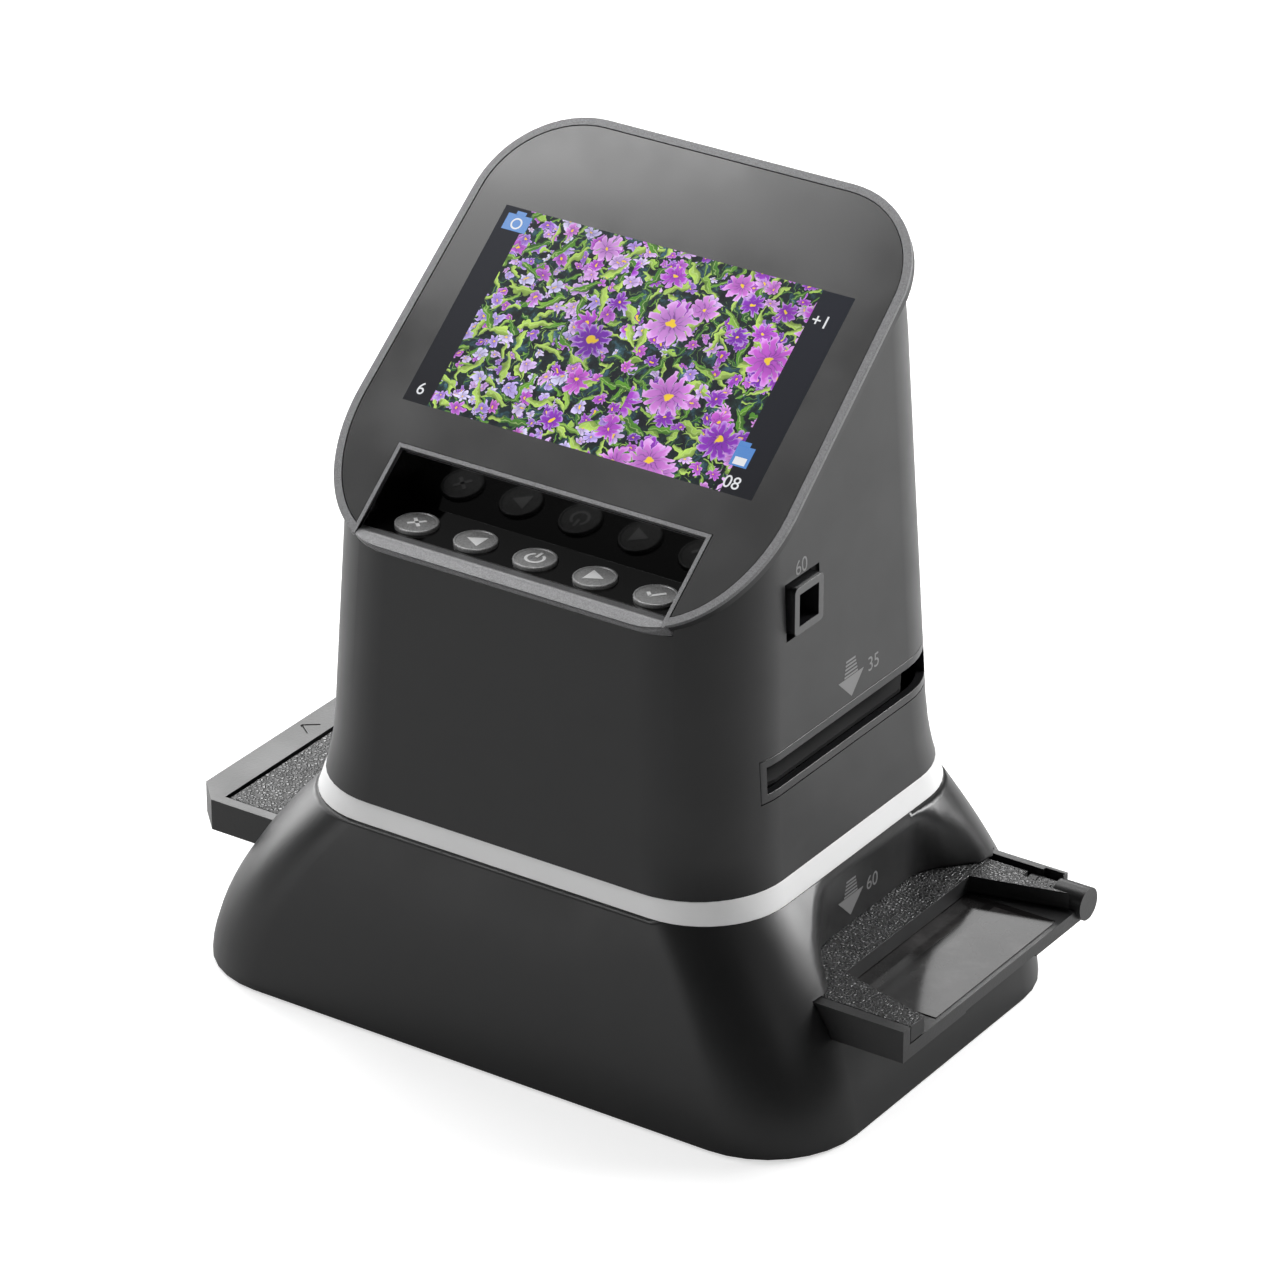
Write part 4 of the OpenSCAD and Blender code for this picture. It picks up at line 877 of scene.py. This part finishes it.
WORLD_LIGHT = 0.08
FLOOR_GLOW = 0.6
CAMERA_SPOT = Vector((0.8585, -1.2643, 0.8838))
CAMERA_AIM = Vector((0.00523, 0, 0.10082))
CAMERA_LENS = 179.8
MIDDLE = (0, 0, 0.1)

# Each lamp's name, place, aim, width, height and power, in metres and watts.
LAMPS = (
    ("glass_glow", (-0.95, -0.13, 1.5), (0, 0, 0.2), 0.36, 0.42, 4.0),
    ("sky_left", (-1.0, -0.5, 1.7), MIDDLE, 1.5, 1.5, 7.5),
    ("top_left", (-1.3, 0.9, 1.4), MIDDLE, 1.0, 0.9, 13),
    ("back_right", (0.6, 0.8, 0.6), (0.2, 0.2, 0), 0.45, 0.45, 12.5),
    ("back_left", (-1.1, 1.5, 0.9), MIDDLE, 0.9, 0.6, 10),
    ("right_soft", (1.5, -0.3, 1.0), MIDDLE, 0.5, 0.8, 0.8),
    ("front_left", (-1.2, -1.7, 0.45), MIDDLE, 1.2, 0.7, 5),
    ("overhead", (-0.35, 0.45, 1.6), MIDDLE, 0.5, 0.5, 6),
    ("left_low", (-1.6, 0.35, 0.35), MIDDLE, 1.0, 0.6, 14),
)


def facing(spot, aim):
    """The turn of a lamp or camera that looks from the spot to the aim."""
    return (Vector(aim) - Vector(spot)).to_track_quat("-Z", "Y").to_euler()


def white_world():
    """White where the camera sees it, and dim light on the object."""
    world = bpy.data.worlds.new("studio")
    bpy.context.scene.world = world
    world.use_nodes = True
    tree = world.node_tree
    tree.nodes.clear()
    out = tree.nodes.new("ShaderNodeOutputWorld")
    choose = tree.nodes.new("ShaderNodeMixShader")
    path = tree.nodes.new("ShaderNodeLightPath")
    tree.links.new(path.outputs["Is Camera Ray"], choose.inputs[0])
    for socket, strength in ((1, WORLD_LIGHT), (2, 1.0)):
        sky = tree.nodes.new("ShaderNodeBackground")
        sky.inputs[0].default_value = (1, 1, 1, 1)
        sky.inputs[1].default_value = strength
        tree.links.new(sky.outputs[0], choose.inputs[socket])
    tree.links.new(choose.outputs[0], out.inputs[0])


def pale_floor():
    """A plain floor that is white to the camera and keeps the object's shadow."""
    nothing_selected()
    bpy.ops.mesh.primitive_plane_add(size=12, location=(0, 0, -0.0002))
    floor = named("floor")
    look = Finish("floor_pale")
    look.set(Base_Color=(0.72, 0.72, 0.72), Roughness=0.9, Specular_IOR_Level=0.1)
    seen = look.new("LightPath").outputs["Is Camera Ray"]
    look.set(Emission_Color=(1, 1, 1), Emission_Strength=look.math("MULTIPLY", seen, FLOOR_GLOW))
    floor.data.materials.append(look.material)


def lamp(name, spot, aim, width, height, watts):
    light = bpy.data.lights.new(name, "AREA")
    light.shape = "RECTANGLE"
    light.size = width
    light.size_y = height
    light.energy = watts
    item = bpy.data.objects.new(name, light)
    bpy.context.scene.collection.objects.link(item)
    item.location = spot
    item.rotation_euler = facing(spot, aim)


def photo_camera():
    """The camera stands where the photograph was taken from."""
    optics = bpy.data.cameras.new("camera")
    optics.sensor_width = 36
    optics.lens = CAMERA_LENS
    optics.clip_start = 0.05
    optics.clip_end = 30
    camera = bpy.data.objects.new("camera", optics)
    bpy.context.scene.collection.objects.link(camera)
    bpy.context.scene.camera = camera
    camera.location = CAMERA_SPOT
    camera.rotation_euler = facing(CAMERA_SPOT, CAMERA_AIM)


bpy.context.scene.view_settings.view_transform = "Standard"
white_world()
pale_floor()
for row in LAMPS:
    lamp(*row)
photo_camera()
